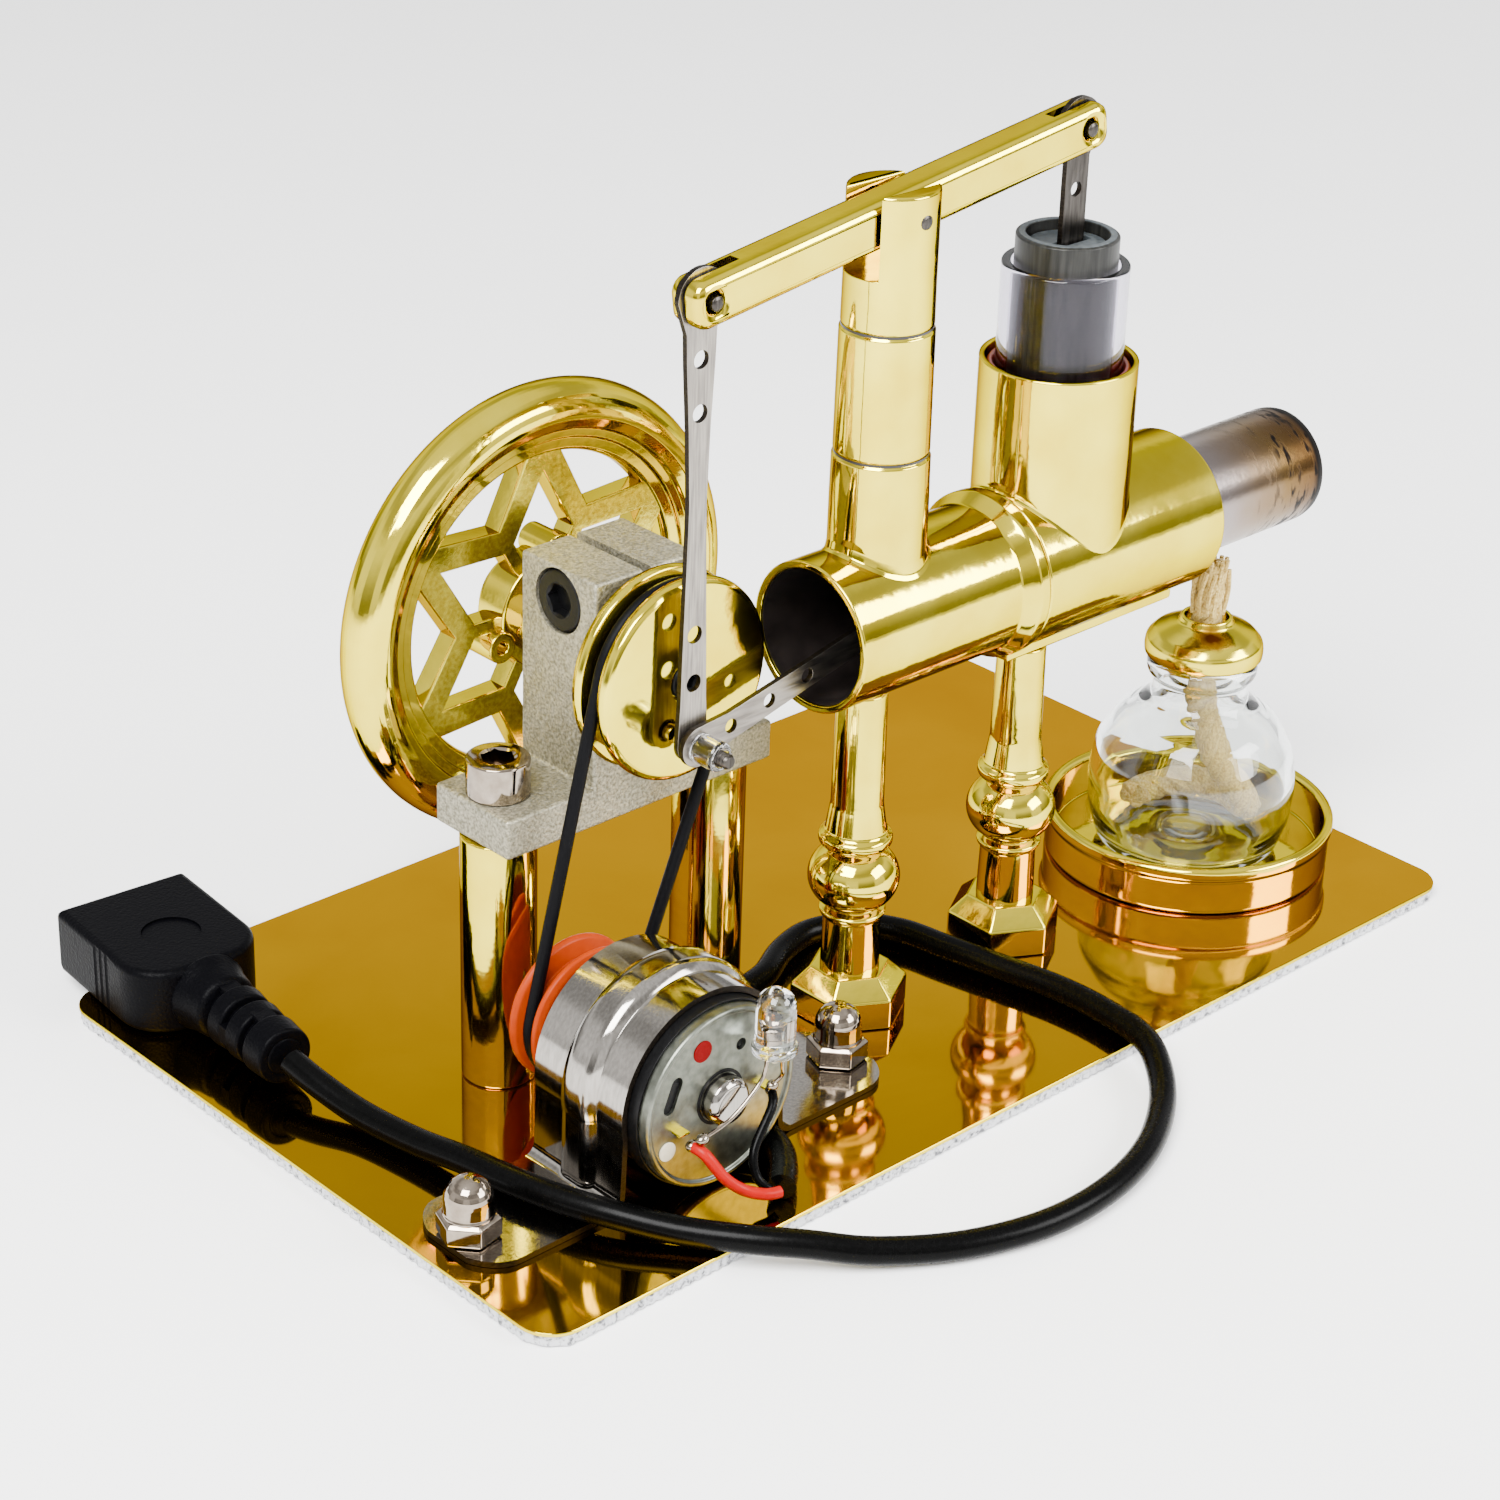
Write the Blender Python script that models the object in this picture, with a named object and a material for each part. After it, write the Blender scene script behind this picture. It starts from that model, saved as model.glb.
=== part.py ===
"""Model hot-air engine: a beam engine with a spirit burner, a flywheel and a small generator.

World frame: metres, +Z up, origin in the middle of the base plate's underside, +X along the plate's long
side toward the burner, -Y toward the generator. Dimensions are written in millimetres and turned into
metres once, where a mesh is made.
"""

import math

import bmesh
import bpy
from mathutils import Matrix, Vector

MM = 0.001

# Base plate
PLATE_LENGTH = 170.0
PLATE_WIDTH = 100.0
PLATE_CORNER = 5.0
CORE_TOP = 1.45
SKIN_BOTTOM = 1.5
PLATE_TOP = 2.0
REST_GAP = 0.06

# Engine cylinder and column
AXIS_Y = -18.5
TUBE_Z = 59.5
TUBE_FRONT = -16.1
TUBE_JOINT = 16.4
TUBE_BACK = 51.3
TUBE_RADIUS = 10.0
TUBE_BORE = 8.9
REAR_RADIUS = 10.5
REAR_BORE = 8.6
FLANGE_RADIUS = 11.4
KEEL_BOTTOM = TUBE_Z - 12.4
COLUMN_X = -4.8
TOWER_X = 27.4
TOWER_TOP = 86.9
TOWER_RADIUS = 10.4
TOWER_BORE = 9.6
LEG_FRONT_X = -6.0
LEG_REAR_X = 24.2
FOOT_RADIUS = 8.1

# Hot end
HOT_RADIUS = 8.25
HOT_WALL = 0.6
HOT_START = 38.0
HOT_END = 76.8
DISPLACER_RADIUS = 7.2
DISPLACER_START = 34.0
DISPLACER_LENGTH = 32.0
GUIDE_START = 15.8
GUIDE_RADIUS = 8.3

# Power cylinder
GLASS_RADIUS = 8.3
GLASS_BORE = 7.0
GLASS_BOTTOM = 76.0
GLASS_TOP = 99.7
PISTON_RADIUS = 6.7
PISTON_BOTTOM = 84.5
PISTON_TOP = 103.5
GUDGEON_Z = 95.0

# Beam and its rods
BEAM_Y = -18.5
BEAM_THICKNESS = 5.2
BEAM_HEIGHT = 6.0
BEAM_TILT = math.radians(8.0)
BEAM_PIVOT_Z = 112.8
BEAM_LEFT_ARM = 31.0
BEAM_RIGHT_ARM = 33.0
BEAM_OVERHANG = 3.1
STRIP = 0.8
ROD_Y = -18.1
LINK_Y = -19.4
PISTON_LINK_Y = -18.5
PIN_RADIUS = 0.95
CRANK_THROW = 7.2
DISPLACER_PIN_X = 1.5

# Crank shaft, bearing block and flywheel
SHAFT_X = -34.0
SHAFT_Z = 58.0
SHAFT_RADIUS = 1.5
BLOCK_FRONT = -8.0
BLOCK_BACK = 6.2
BLOCK_BOTTOM = 37.2
BAR_TOP = 42.6
BAR_HALF = 22.2
BLOCK_TOP = 70.4
UPRIGHT_HALF = 8.3
POST_SPREAD = 17.9
POST_RADIUS = 4.9
POST_Y = 0.5 * (BLOCK_FRONT + BLOCK_BACK)
CRANK_FRONT = -15.8
CRANK_BACK = -9.2
CRANK_RADIUS = 13.4
FLYWHEEL_Y = 13.3
FLYWHEEL_RADIUS = 30.3

# Generator and belt
MOTOR_X = -48.0
MOTOR_Z = 14.7
MOTOR_RADIUS = 12.2
MOTOR_FRONT = -38.9
MOTOR_BACK = -18.3
STRAP_FRONT = -36.5
STRAP_BACK = -19.5
STRAP_SHEET = 0.8
STRAP_FOOT = 34.0
NUT_SPREAD = 30.7
BELT_Y = -12.4
BELT_RADIUS = 0.85
GEN_FLANGE = 9.8
CRANK_BELT = 11.65
GEN_BELT = 8.35

# Burner
BURNER_X = 63.3
TRAY_RADIUS = 21.0
TRAY_TOP = 9.4
BOTTLE_BOTTOM = 3.6
WICK_TOP = 48.8
WICK_RADIUS = 2.8

# Cable and socket
CABLE_RADIUS = 1.8
SOCKET_YAW = math.radians(-5.0)
SOCKET_END = Vector((-73.6, 34.0, 6.7))

GOLD = ((0.86, 0.72, 0.26), 0.12, 1.0)
AMBER = ((0.62, 0.34, 0.02), 0.08, 1.0)
STEEL = ((0.55, 0.53, 0.50), 0.30, 1.0)
BRIGHT = ((0.70, 0.67, 0.62), 0.12, 1.0)
CAST = ((0.42, 0.41, 0.37), 0.65, 1.0)
BLACK = ((0.012, 0.012, 0.013), 0.45, 0.0)
RUBBER = ((0.008, 0.008, 0.008), 0.60, 0.0)
GLASS = ((0.92, 0.95, 0.95), 0.03, 0.0)


def clear_scene():
    for obj in list(bpy.data.objects):
        bpy.data.objects.remove(obj, do_unlink=True)


def paint(obj, look):
    """Give the object its own material from (colour, roughness, metallic)."""
    material = bpy.data.materials.new(obj.name)
    material.use_nodes = True
    shader = material.node_tree.nodes["Principled BSDF"]
    colour, roughness, metallic = look
    shader.inputs["Base Color"].default_value = (*colour, 1.0)
    shader.inputs["Roughness"].default_value = roughness
    shader.inputs["Metallic"].default_value = metallic
    obj.data.materials.append(material)


def add_mesh(name, shape, look, origin=(0.0, 0.0, 0.0)):
    """Turn a bmesh in millimetres into an object whose origin sits at the given point."""
    bmesh.ops.recalc_face_normals(shape, faces=shape.faces)
    shape.transform(Matrix.Scale(MM, 4) @ Matrix.Translation(-Vector(origin)))
    mesh = bpy.data.meshes.new(name)
    shape.to_mesh(mesh)
    shape.free()
    mesh.shade_smooth()
    mesh.set_sharp_from_angle(angle=math.radians(32.0))
    obj = bpy.data.objects.new(name, mesh)
    obj.location = Vector(origin) * MM
    bpy.context.scene.collection.objects.link(obj)
    paint(obj, look)
    return obj


def turned(name, profile, look, centre, axis="Z", steps=32, ring=False, origin=None, phase=0.0):
    """Turn a profile of (radius, height) about an axis. A ring profile closes on itself."""
    shape = bmesh.new()
    rows = []
    for radius, height in profile:
        if radius < 1e-6:
            rows.append([shape.verts.new(place(0.0, 0.0, height, centre, axis))] * steps)
            continue
        row = []
        for k in range(steps):
            angle = phase + 2.0 * math.pi * k / steps
            point = place(radius * math.cos(angle), radius * math.sin(angle), height, centre, axis)
            row.append(shape.verts.new(point))
        rows.append(row)
    pairs = list(zip(rows, rows[1:]))
    if ring:
        pairs.append((rows[-1], rows[0]))
    for low, high in pairs:
        for k in range(steps):
            corners = [low[k], low[(k + 1) % steps], high[(k + 1) % steps], high[k]]
            corners = list(dict.fromkeys(corners))
            if len(corners) > 2:
                shape.faces.new(corners)
    return add_mesh(name, shape, look, origin or centre)


def place(a, b, height, centre, axis):
    """Put a point of a turned shape into the world, with its height along the axis."""
    x, y, z = centre
    if axis == "X":
        return (x + height, y + a, z + b)
    if axis == "Y":
        return (x + a, y + height, z + b)
    return (x + a, y + b, z + height)


def slab(name, outline, holes, low, high, look, axis="Y", origin=(0.0, 0.0, 0.0)):
    """Extrude a flat outline with holes between two heights along an axis."""
    shape = bmesh.new()
    for loop in [outline, *holes]:
        verts = [shape.verts.new(place(a, b, low, (0.0, 0.0, 0.0), axis)) for a, b in loop]
        for k, vert in enumerate(verts):
            shape.edges.new((vert, verts[(k + 1) % len(verts)]))
    bmesh.ops.triangle_fill(shape, edges=shape.edges[:], use_beauty=True, use_dissolve=False)
    faces = bmesh.ops.extrude_face_region(shape, geom=shape.faces[:])
    moved = [item for item in faces["geom"] if isinstance(item, bmesh.types.BMVert)]
    step = {"X": (high - low, 0.0, 0.0), "Y": (0.0, high - low, 0.0), "Z": (0.0, 0.0, high - low)}[axis]
    bmesh.ops.translate(shape, verts=moved, vec=step)
    return add_mesh(name, shape, look, origin)


def block(name, low, high, look=STEEL, origin=(0.0, 0.0, 0.0)):
    """A plain box between two corners."""
    outline = [(low[0], low[1]), (high[0], low[1]), (high[0], high[1]), (low[0], high[1])]
    return slab(name, outline, [], low[2], high[2], look, "Z", origin)


def rod(name, centre, radius, low, high, axis, look=STEEL, steps=16, origin=None):
    """A plain cylinder along an axis, with its corners turned a little so that no two cuts share a plane."""
    profile = [(0.0, low), (radius, low), (radius, high), (0.0, high)]
    return turned(name, profile, look, centre, axis, steps, origin=origin, phase=0.031)


def tube_ring(name, centre, inner, outer, low, high, axis, look, steps=32, origin=None):
    """A plain hollow cylinder along an axis."""
    profile = [(inner, low), (outer, low), (outer, high), (inner, high)]
    return turned(name, profile, look, centre, axis, steps, ring=True, origin=origin)


def hide_helper(obj):
    obj.hide_render = True
    obj.display_type = "WIRE"


def combine(obj, helper, operation):
    """Cut a helper from the object, or fuse it on, with a Boolean."""
    hide_helper(helper)
    modifier = obj.modifiers.new(operation.lower(), "BOOLEAN")
    modifier.operation = operation
    modifier.solver = "EXACT"
    modifier.object = helper


def cut(obj, *helpers):
    for helper in helpers:
        combine(obj, helper, "DIFFERENCE")


def fuse(obj, *helpers):
    for helper in helpers:
        combine(obj, helper, "UNION")


def soften(obj, width, segments=2, angle=40.0):
    modifier = obj.modifiers.new("soften", "BEVEL")
    modifier.width = width * MM
    modifier.segments = segments
    modifier.limit_method = "ANGLE"
    modifier.angle_limit = math.radians(angle)


def circle(centre, radius, steps=12):
    points = []
    for k in range(steps):
        angle = 2.0 * math.pi * k / steps
        points.append((centre[0] + radius * math.cos(angle), centre[1] + radius * math.sin(angle)))
    return points


def strip_outline(start, end, widths, first_radius, last_radius, steps=8):
    """Outline of a flat link: a round eye at each pin and sides through (fraction, half width) stations."""
    start = Vector(start)
    along = Vector(end) - start
    length = along.length
    along.normalize()
    across = Vector((-along.y, along.x))
    points = []
    for k in range(steps + 1):
        angle = math.pi * (0.5 + k / steps)
        points.append((first_radius * math.cos(angle), first_radius * math.sin(angle)))
    for fraction, half in widths:
        points.append((fraction * length, -half))
    for k in range(steps + 1):
        angle = math.pi * (-0.5 + k / steps)
        points.append((length + last_radius * math.cos(angle), last_radius * math.sin(angle)))
    for fraction, half in reversed(widths):
        points.append((fraction * length, half))
    return [tuple(start + s * along + t * across) for s, t in points]


def along_line(start, end, distance):
    """The point this far from start toward end."""
    start = Vector(start)
    return tuple(start + (Vector(end) - start).normalized() * distance)


def smooth_path(route, count, closed=False):
    """Evenly spaced points on a smooth curve through the route."""
    points = [Vector(point) for point in route]
    last = len(points) if closed else len(points) - 1
    dense = []
    for i in range(last):
        if closed:
            before, here, after, beyond = [points[(i + k) % len(points)] for k in (-1, 0, 1, 2)]
        else:
            before = points[max(i - 1, 0)]
            here = points[i]
            after = points[i + 1]
            beyond = points[min(i + 2, len(points) - 1)]
        for k in range(16):
            dense.append(spline_point(before, here, after, beyond, k / 16.0))
    dense.append(points[0] if closed else points[-1])
    return spaced(dense, count)


def spline_point(before, here, after, beyond, t):
    """A Catmull-Rom point between here and after."""
    a = 2.0 * here
    b = (after - before) * t
    c = (2.0 * before - 5.0 * here + 4.0 * after - beyond) * t * t
    d = (3.0 * here - before - 3.0 * after + beyond) * t * t * t
    return 0.5 * (a + b + c + d)


def spaced(dense, count):
    """Points at equal distances along a dense polyline."""
    lengths = [0.0]
    for here, after in zip(dense, dense[1:]):
        lengths.append(lengths[-1] + (after - here).length)
    result = []
    place_at = 0
    for k in range(count):
        wanted = lengths[-1] * k / (count - 1)
        while place_at < len(dense) - 2 and lengths[place_at + 1] < wanted:
            place_at += 1
        span = max(lengths[place_at + 1] - lengths[place_at], 1e-9)
        result.append(dense[place_at].lerp(dense[place_at + 1], (wanted - lengths[place_at]) / span))
    return result


def cord(name, points, radius, look, closed=False, roundness=2, origin=(0.0, 0.0, 0.0)):
    """A round cord through the points."""
    curve = bpy.data.curves.new(name, "CURVE")
    curve.dimensions = "3D"
    curve.bevel_depth = radius * MM
    curve.bevel_resolution = roundness
    curve.use_fill_caps = True
    spline = curve.splines.new("POLY")
    spline.points.add(len(points) - 1)
    for slot, point in zip(spline.points, points):
        slot.co = (*((Vector(point) - Vector(origin)) * MM), 1.0)
    spline.use_cyclic_u = closed
    spline.use_smooth = True
    obj = bpy.data.objects.new(name, curve)
    obj.location = Vector(origin) * MM
    bpy.context.scene.collection.objects.link(obj)
    paint(obj, look)
    return obj


def rounded_rectangle(half_x, half_y, radius, steps=4):
    points = []
    for k, (sx, sy) in enumerate(((1, 1), (-1, 1), (-1, -1), (1, -1))):
        for j in range(steps + 1):
            angle = math.pi * (k / 2.0 + j / (2.0 * steps))
            x = sx * (half_x - radius) + radius * math.cos(angle)
            y = sy * (half_y - radius) + radius * math.sin(angle)
            points.append((x, y))
    return points


# Base


def base_plate():
    outline = rounded_rectangle(PLATE_LENGTH / 2.0, PLATE_WIDTH / 2.0, PLATE_CORNER)
    slab("base_core", outline, [], 0.0, CORE_TOP, ((0.55, 0.56, 0.58), 0.8, 0.0), "Z")
    slab("base_skin", outline, [], SKIN_BOTTOM, PLATE_TOP, AMBER, "Z")


def leg(name, x, top):
    low = PLATE_TOP + REST_GAP
    profile = [(0.0, 7.0), (3.95, 7.0), (3.95, 16.2), (4.7, 16.9), (5.7, 18.9), (6.15, 21.6)]
    profile += [(6.15, 23.2), (5.7, 25.6), (4.9, 27.6), (4.9, 28.4), (4.1, 28.9), (3.3, top), (0.0, top)]
    body = turned(name, profile, GOLD, (x, AXIS_Y, 0.0), steps=24)
    foot = [(0.0, low), (FOOT_RADIUS, low), (FOOT_RADIUS, 6.2), (5.6, 8.7), (0.0, 8.7)]
    fuse(body, turned("fuse_" + name, foot, GOLD, (x, AXIS_Y, 0.0), steps=6, phase=math.pi / 6.0))


# Engine body


def engine_front():
    """Open front tube with the forked column that carries the beam."""
    shell = [(0.0, TUBE_FRONT), (TUBE_RADIUS, TUBE_FRONT), (TUBE_RADIUS, 12.0), (FLANGE_RADIUS, 13.4)]
    shell += [(FLANGE_RADIUS, TUBE_JOINT), (0.0, TUBE_JOINT)]
    body = turned("engine_front", shell, GOLD, (0.0, AXIS_Y, TUBE_Z), "X", 32)
    column = [(0.0, 62.0), (6.35, 62.0), (6.25, 82.0), (6.1, 82.3), (5.95, 98.6), (5.8, 99.2)]
    column += [(5.6, 115.6), (5.0, 116.4), (0.0, 116.4)]
    fuse(body, turned("fuse_column", column, GOLD, (COLUMN_X, AXIS_Y, 0.0), steps=24))
    centre = (0.0, AXIS_Y, TUBE_Z)
    bore = rod("cut_front_bore", centre, TUBE_BORE, TUBE_FRONT - 1.0, TUBE_JOINT + 1.0, "X", steps=32)
    half = BEAM_THICKNESS / 2.0 + 0.4
    fork_low = (COLUMN_X - 9.0, BEAM_Y - half, 105.6)
    fork_high = (COLUMN_X + 9.0, BEAM_Y + half, 120.0)
    pin_hole = rod("cut_pivot_hole", (COLUMN_X, AXIS_Y, BEAM_PIVOT_Z), 1.3, -9.0, 9.0, "Y")
    cut(body, bore, block("cut_fork", fork_low, fork_high), pin_hole)


def engine_rear():
    """Rear body with its keel and the tower that holds the glass cylinder."""
    start = TUBE_JOINT + 0.3
    shell = [(0.0, start), (FLANGE_RADIUS, start), (FLANGE_RADIUS, 18.6), (REAR_RADIUS, 19.8)]
    shell += [(REAR_RADIUS, TUBE_BACK), (0.0, TUBE_BACK)]
    body = turned("engine_rear", shell, GOLD, (0.0, AXIS_Y, TUBE_Z), "X", 32)
    tower = [(0.0, 62.0), (TOWER_RADIUS, 62.0), (TOWER_RADIUS, TOWER_TOP - 0.4)]
    tower += [(TOWER_RADIUS - 0.3, TOWER_TOP), (0.0, TOWER_TOP)]
    fuse(body, turned("fuse_tower", tower, GOLD, (TOWER_X, AXIS_Y, 0.0), steps=32))
    fuse(body, block("fuse_keel", (17.4, AXIS_Y - 3.6, KEEL_BOTTOM), (50.4, AXIS_Y + 3.6, TUBE_Z - 5.0)))
    centre = (0.0, AXIS_Y, TUBE_Z)
    bore = rod("cut_rear_bore", centre, REAR_BORE, start - 1.0, TUBE_BACK + 1.0, "X", steps=32)
    socket = rod("cut_tower_bore", (TOWER_X, AXIS_Y, 0.0), TOWER_BORE, 72.6, TOWER_TOP + 1.0, "Z", steps=32)
    port = rod("cut_tower_port", (TOWER_X, AXIS_Y, 0.0), 7.4, 62.0, 74.0, "Z", steps=24)
    cut(body, bore, socket, port)


def hot_end():
    inner = HOT_RADIUS - HOT_WALL
    profile = [(HOT_RADIUS, HOT_START), (HOT_RADIUS, HOT_END - 1.6), (HOT_RADIUS - 0.5, HOT_END - 0.5)]
    profile += [(HOT_RADIUS - 1.6, HOT_END), (0.0, HOT_END), (0.0, HOT_END - HOT_WALL)]
    profile += [(inner - 1.2, HOT_END - HOT_WALL), (inner, HOT_END - 1.8), (inner, HOT_START)]
    turned("hot_cap", profile, STEEL, (0.0, AXIS_Y, TUBE_Z), "X", 24, ring=True)
    guide = [(1.25, GUIDE_START), (GUIDE_RADIUS, GUIDE_START), (GUIDE_RADIUS, GUIDE_START + 1.6)]
    guide += [(3.0, GUIDE_START + 1.6), (3.0, GUIDE_START + 10.0), (1.25, GUIDE_START + 10.0)]
    turned("displacer_guide", guide, STEEL, (0.0, AXIS_Y, TUBE_Z), "X", 20, ring=True)


def displacer():
    """Hollow displacer, its rod and the fork that takes the link."""
    origin = (DISPLACER_PIN_X, AXIS_Y, TUBE_Z)
    end = DISPLACER_START + DISPLACER_LENGTH
    profile = [(0.0, DISPLACER_START), (DISPLACER_RADIUS, DISPLACER_START), (DISPLACER_RADIUS, end)]
    profile += [(DISPLACER_RADIUS - 1.0, end), (DISPLACER_RADIUS - 1.0, DISPLACER_START + 1.6)]
    profile += [(0.0, DISPLACER_START + 1.6)]
    turned("displacer", profile, STEEL, (0.0, AXIS_Y, TUBE_Z), "X", 20, origin=origin)
    low = (DISPLACER_PIN_X - 2.2, AXIS_Y - 2.9, TUBE_Z - 2.2)
    high = (DISPLACER_PIN_X + 5.0, AXIS_Y + 1.6, TUBE_Z + 2.2)
    fork = block("displacer_rod", low, high, STEEL, origin)
    slot_low = (DISPLACER_PIN_X - 5.0, LINK_Y - 0.8, TUBE_Z - 5.0)
    slot_high = (DISPLACER_PIN_X + 3.6, LINK_Y + 0.8, TUBE_Z + 5.0)
    cut(fork, block("cut_displacer_fork", slot_low, slot_high))
    fuse(fork, rod("fuse_displacer_pin", (DISPLACER_PIN_X, AXIS_Y, TUBE_Z), 0.8, -2.4, 1.2, "Y", steps=12))
    rod_start = DISPLACER_PIN_X + 4.4
    rod_end = DISPLACER_START - 0.4
    fuse(fork, rod("fuse_displacer_rod", (0.0, AXIS_Y, TUBE_Z), 0.95, rod_start, rod_end, "X", steps=12))


def power_cylinder():
    centre = (TOWER_X, AXIS_Y, 0.0)
    profile = [(GLASS_BORE, GLASS_BOTTOM), (GLASS_RADIUS, GLASS_BOTTOM), (GLASS_RADIUS, GLASS_TOP - 0.3)]
    profile += [(GLASS_RADIUS - 0.3, GLASS_TOP), (GLASS_BORE, GLASS_TOP)]
    turned("glass_cylinder", profile, GLASS, centre, steps=32, ring=True)
    seal = [(8.5, 80.0), (9.4, 80.0), (9.4, 85.4), (9.1, 86.1), (8.8, 86.1), (8.5, 85.4)]
    turned("cylinder_seal", seal, ((0.22, 0.03, 0.01), 0.5, 0.0), centre, steps=24, ring=True)


def power_piston():
    """Graphite piston, open at the top, with the slotted insert and the pin across it."""
    centre = (TOWER_X, AXIS_Y, 0.0)
    origin = (TOWER_X, AXIS_Y, GUDGEON_Z)
    graphite = ((0.09, 0.095, 0.10), 0.4, 0.3)
    cup = [(0.0, PISTON_BOTTOM), (PISTON_RADIUS, PISTON_BOTTOM), (PISTON_RADIUS, PISTON_TOP - 0.2)]
    cup += [(PISTON_RADIUS - 0.2, PISTON_TOP), (5.4, PISTON_TOP), (5.4, 87.5), (0.0, 87.5)]
    turned("power_piston", cup, graphite, centre, steps=24, origin=origin)
    half = 3.9
    slot = [(TOWER_X - half, AXIS_Y - 0.8), (TOWER_X + half, AXIS_Y - 0.8)]
    slot += [(TOWER_X + half, AXIS_Y + 0.8), (TOWER_X - half, AXIS_Y + 0.8)]
    rim = circle((TOWER_X, AXIS_Y), 5.1, 24)
    insert_look = ((0.30, 0.32, 0.34), 0.5, 0.2)
    slab("piston_insert", rim, [slot], 100.2, 102.2, insert_look, "Z", origin)
    rod("gudgeon_pin", (TOWER_X, AXIS_Y, GUDGEON_Z), 0.75, -4.9, 4.9, "Y", BRIGHT, 12, origin)


# Beam linkage


def beam_pin(arm):
    """World X and Z of a point on the beam this far right of the pivot."""
    return (COLUMN_X + arm * math.cos(BEAM_TILT), BEAM_PIVOT_Z + arm * math.sin(BEAM_TILT))


def beam():
    left = beam_pin(-BEAM_LEFT_ARM)
    right = beam_pin(BEAM_RIGHT_ARM)
    origin = (COLUMN_X, AXIS_Y, BEAM_PIVOT_Z)
    along = Vector((math.cos(BEAM_TILT), math.sin(BEAM_TILT)))
    across = Vector((-along.y, along.x))
    low = -BEAM_LEFT_ARM - BEAM_OVERHANG
    high = BEAM_RIGHT_ARM + BEAM_OVERHANG
    middle = Vector((COLUMN_X, BEAM_PIVOT_Z)) + along * (low + high) / 2.0
    shape = rounded_rectangle((high - low) / 2.0, BEAM_HEIGHT / 2.0, 1.8, 3)
    outline = [tuple(middle + along * a + across * b) for a, b in shape]
    near = BEAM_Y - BEAM_THICKNESS / 2.0
    far = BEAM_Y + BEAM_THICKNESS / 2.0
    holes = [circle(left, 1.2), circle((COLUMN_X, BEAM_PIVOT_Z), 1.3), circle(right, 1.2)]
    bar = slab("beam", outline, holes, near, far, GOLD, "Y", origin)
    left_low = (left[0] - 8.0, ROD_Y - 0.8, left[1] - 8.0)
    left_high = (left[0] + 5.2, ROD_Y + 0.8, left[1] + 8.0)
    right_low = (right[0] - 5.6, PISTON_LINK_Y - 0.8, right[1] - 8.0)
    right_high = (right[0] + 8.0, PISTON_LINK_Y + 0.8, right[1] + 8.0)
    cut(bar, block("cut_beam_left", left_low, left_high), block("cut_beam_right", right_low, right_high))
    rod("pivot_pin", origin, 1.0, -5.9, 5.9, "Y", STEEL, 16, origin)
    rod("left_pin", (left[0], BEAM_Y, left[1]), PIN_RADIUS, -2.7, 2.7, "Y", STEEL, 16)
    rod("right_pin", (right[0], BEAM_Y, right[1]), PIN_RADIUS, -2.7, 2.7, "Y", STEEL, 16)


def crank_pin_place():
    """World X and Z of the crank pin, straight below the beam's left pin."""
    left = beam_pin(-BEAM_LEFT_ARM)
    offset = left[0] - SHAFT_X
    return (left[0], SHAFT_Z - math.sqrt(CRANK_THROW**2 - offset**2))


def beam_rod():
    top = beam_pin(-BEAM_LEFT_ARM)
    bottom = crank_pin_place()
    widths = [(0.10, 2.1), (0.22, 1.95), (0.55, 1.4), (0.86, 2.3), (0.93, 2.4)]
    outline = strip_outline(bottom, top, widths, 2.4, 2.7)
    holes = [circle(bottom, 1.5), circle(top, 1.2)]
    for distance in (8.2, 14.7, 43.3, 50.0):
        holes.append(circle(along_line(bottom, top, distance), 1.15))
    origin = (top[0], ROD_Y, top[1])
    slab("beam_rod", outline, holes, ROD_Y - STRIP / 2.0, ROD_Y + STRIP / 2.0, STEEL, "Y", origin)
    centre = (bottom[0], 0.0, bottom[1])
    rod("crank_pin", centre, 1.2, ROD_Y - 0.65, CRANK_FRONT - 0.4, "Y", BRIGHT, 16, origin)


def displacer_link():
    eye = crank_pin_place()
    pin = (DISPLACER_PIN_X, TUBE_Z)
    outline = strip_outline(eye, pin, [(0.12, 2.0), (0.5, 1.8), (0.9, 1.8)], 2.7, 1.9)
    holes = [circle(eye, 1.5), circle(pin, 1.1)]
    for distance in (5.4, 12.0, 18.6):
        holes.append(circle(along_line(eye, pin, distance), 0.95))
    origin = (DISPLACER_PIN_X, LINK_Y, TUBE_Z)
    low = LINK_Y - STRIP / 2.0
    slab("displacer_link", outline, holes, low, LINK_Y + STRIP / 2.0, STEEL, "Y", origin)
    centre = (eye[0], 0.0, eye[1])
    rod("crank_stud", centre, 1.0, -25.4, -19.0, "Y", BRIGHT, 16, origin)
    sleeve_look = ((0.75, 0.76, 0.76), 0.2, 0.0)
    tube_ring("crank_sleeve", centre, 1.25, 1.95, -23.8, low - 0.2, "Y", sleeve_look, 16, origin)


def piston_link():
    top = beam_pin(BEAM_RIGHT_ARM)
    bottom = (top[0], GUDGEON_Z)
    outline = strip_outline(bottom, top, [(0.22, 2.1), (0.6, 2.1), (0.9, 2.1)], 3.4, 2.5)
    slot = rounded_rectangle(2.3, 1.05, 0.9, 2)
    holes = [[(TOWER_X + a, GUDGEON_Z + b) for a, b in slot], circle(top, 1.2)]
    holes.append(circle(along_line(top, bottom, 8.2), 0.95))
    origin = (top[0], PISTON_LINK_Y, top[1])
    low = PISTON_LINK_Y - STRIP / 2.0
    slab("piston_link", outline, holes, low, PISTON_LINK_Y + STRIP / 2.0, STEEL, "Y", origin)


# Crank shaft


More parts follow.
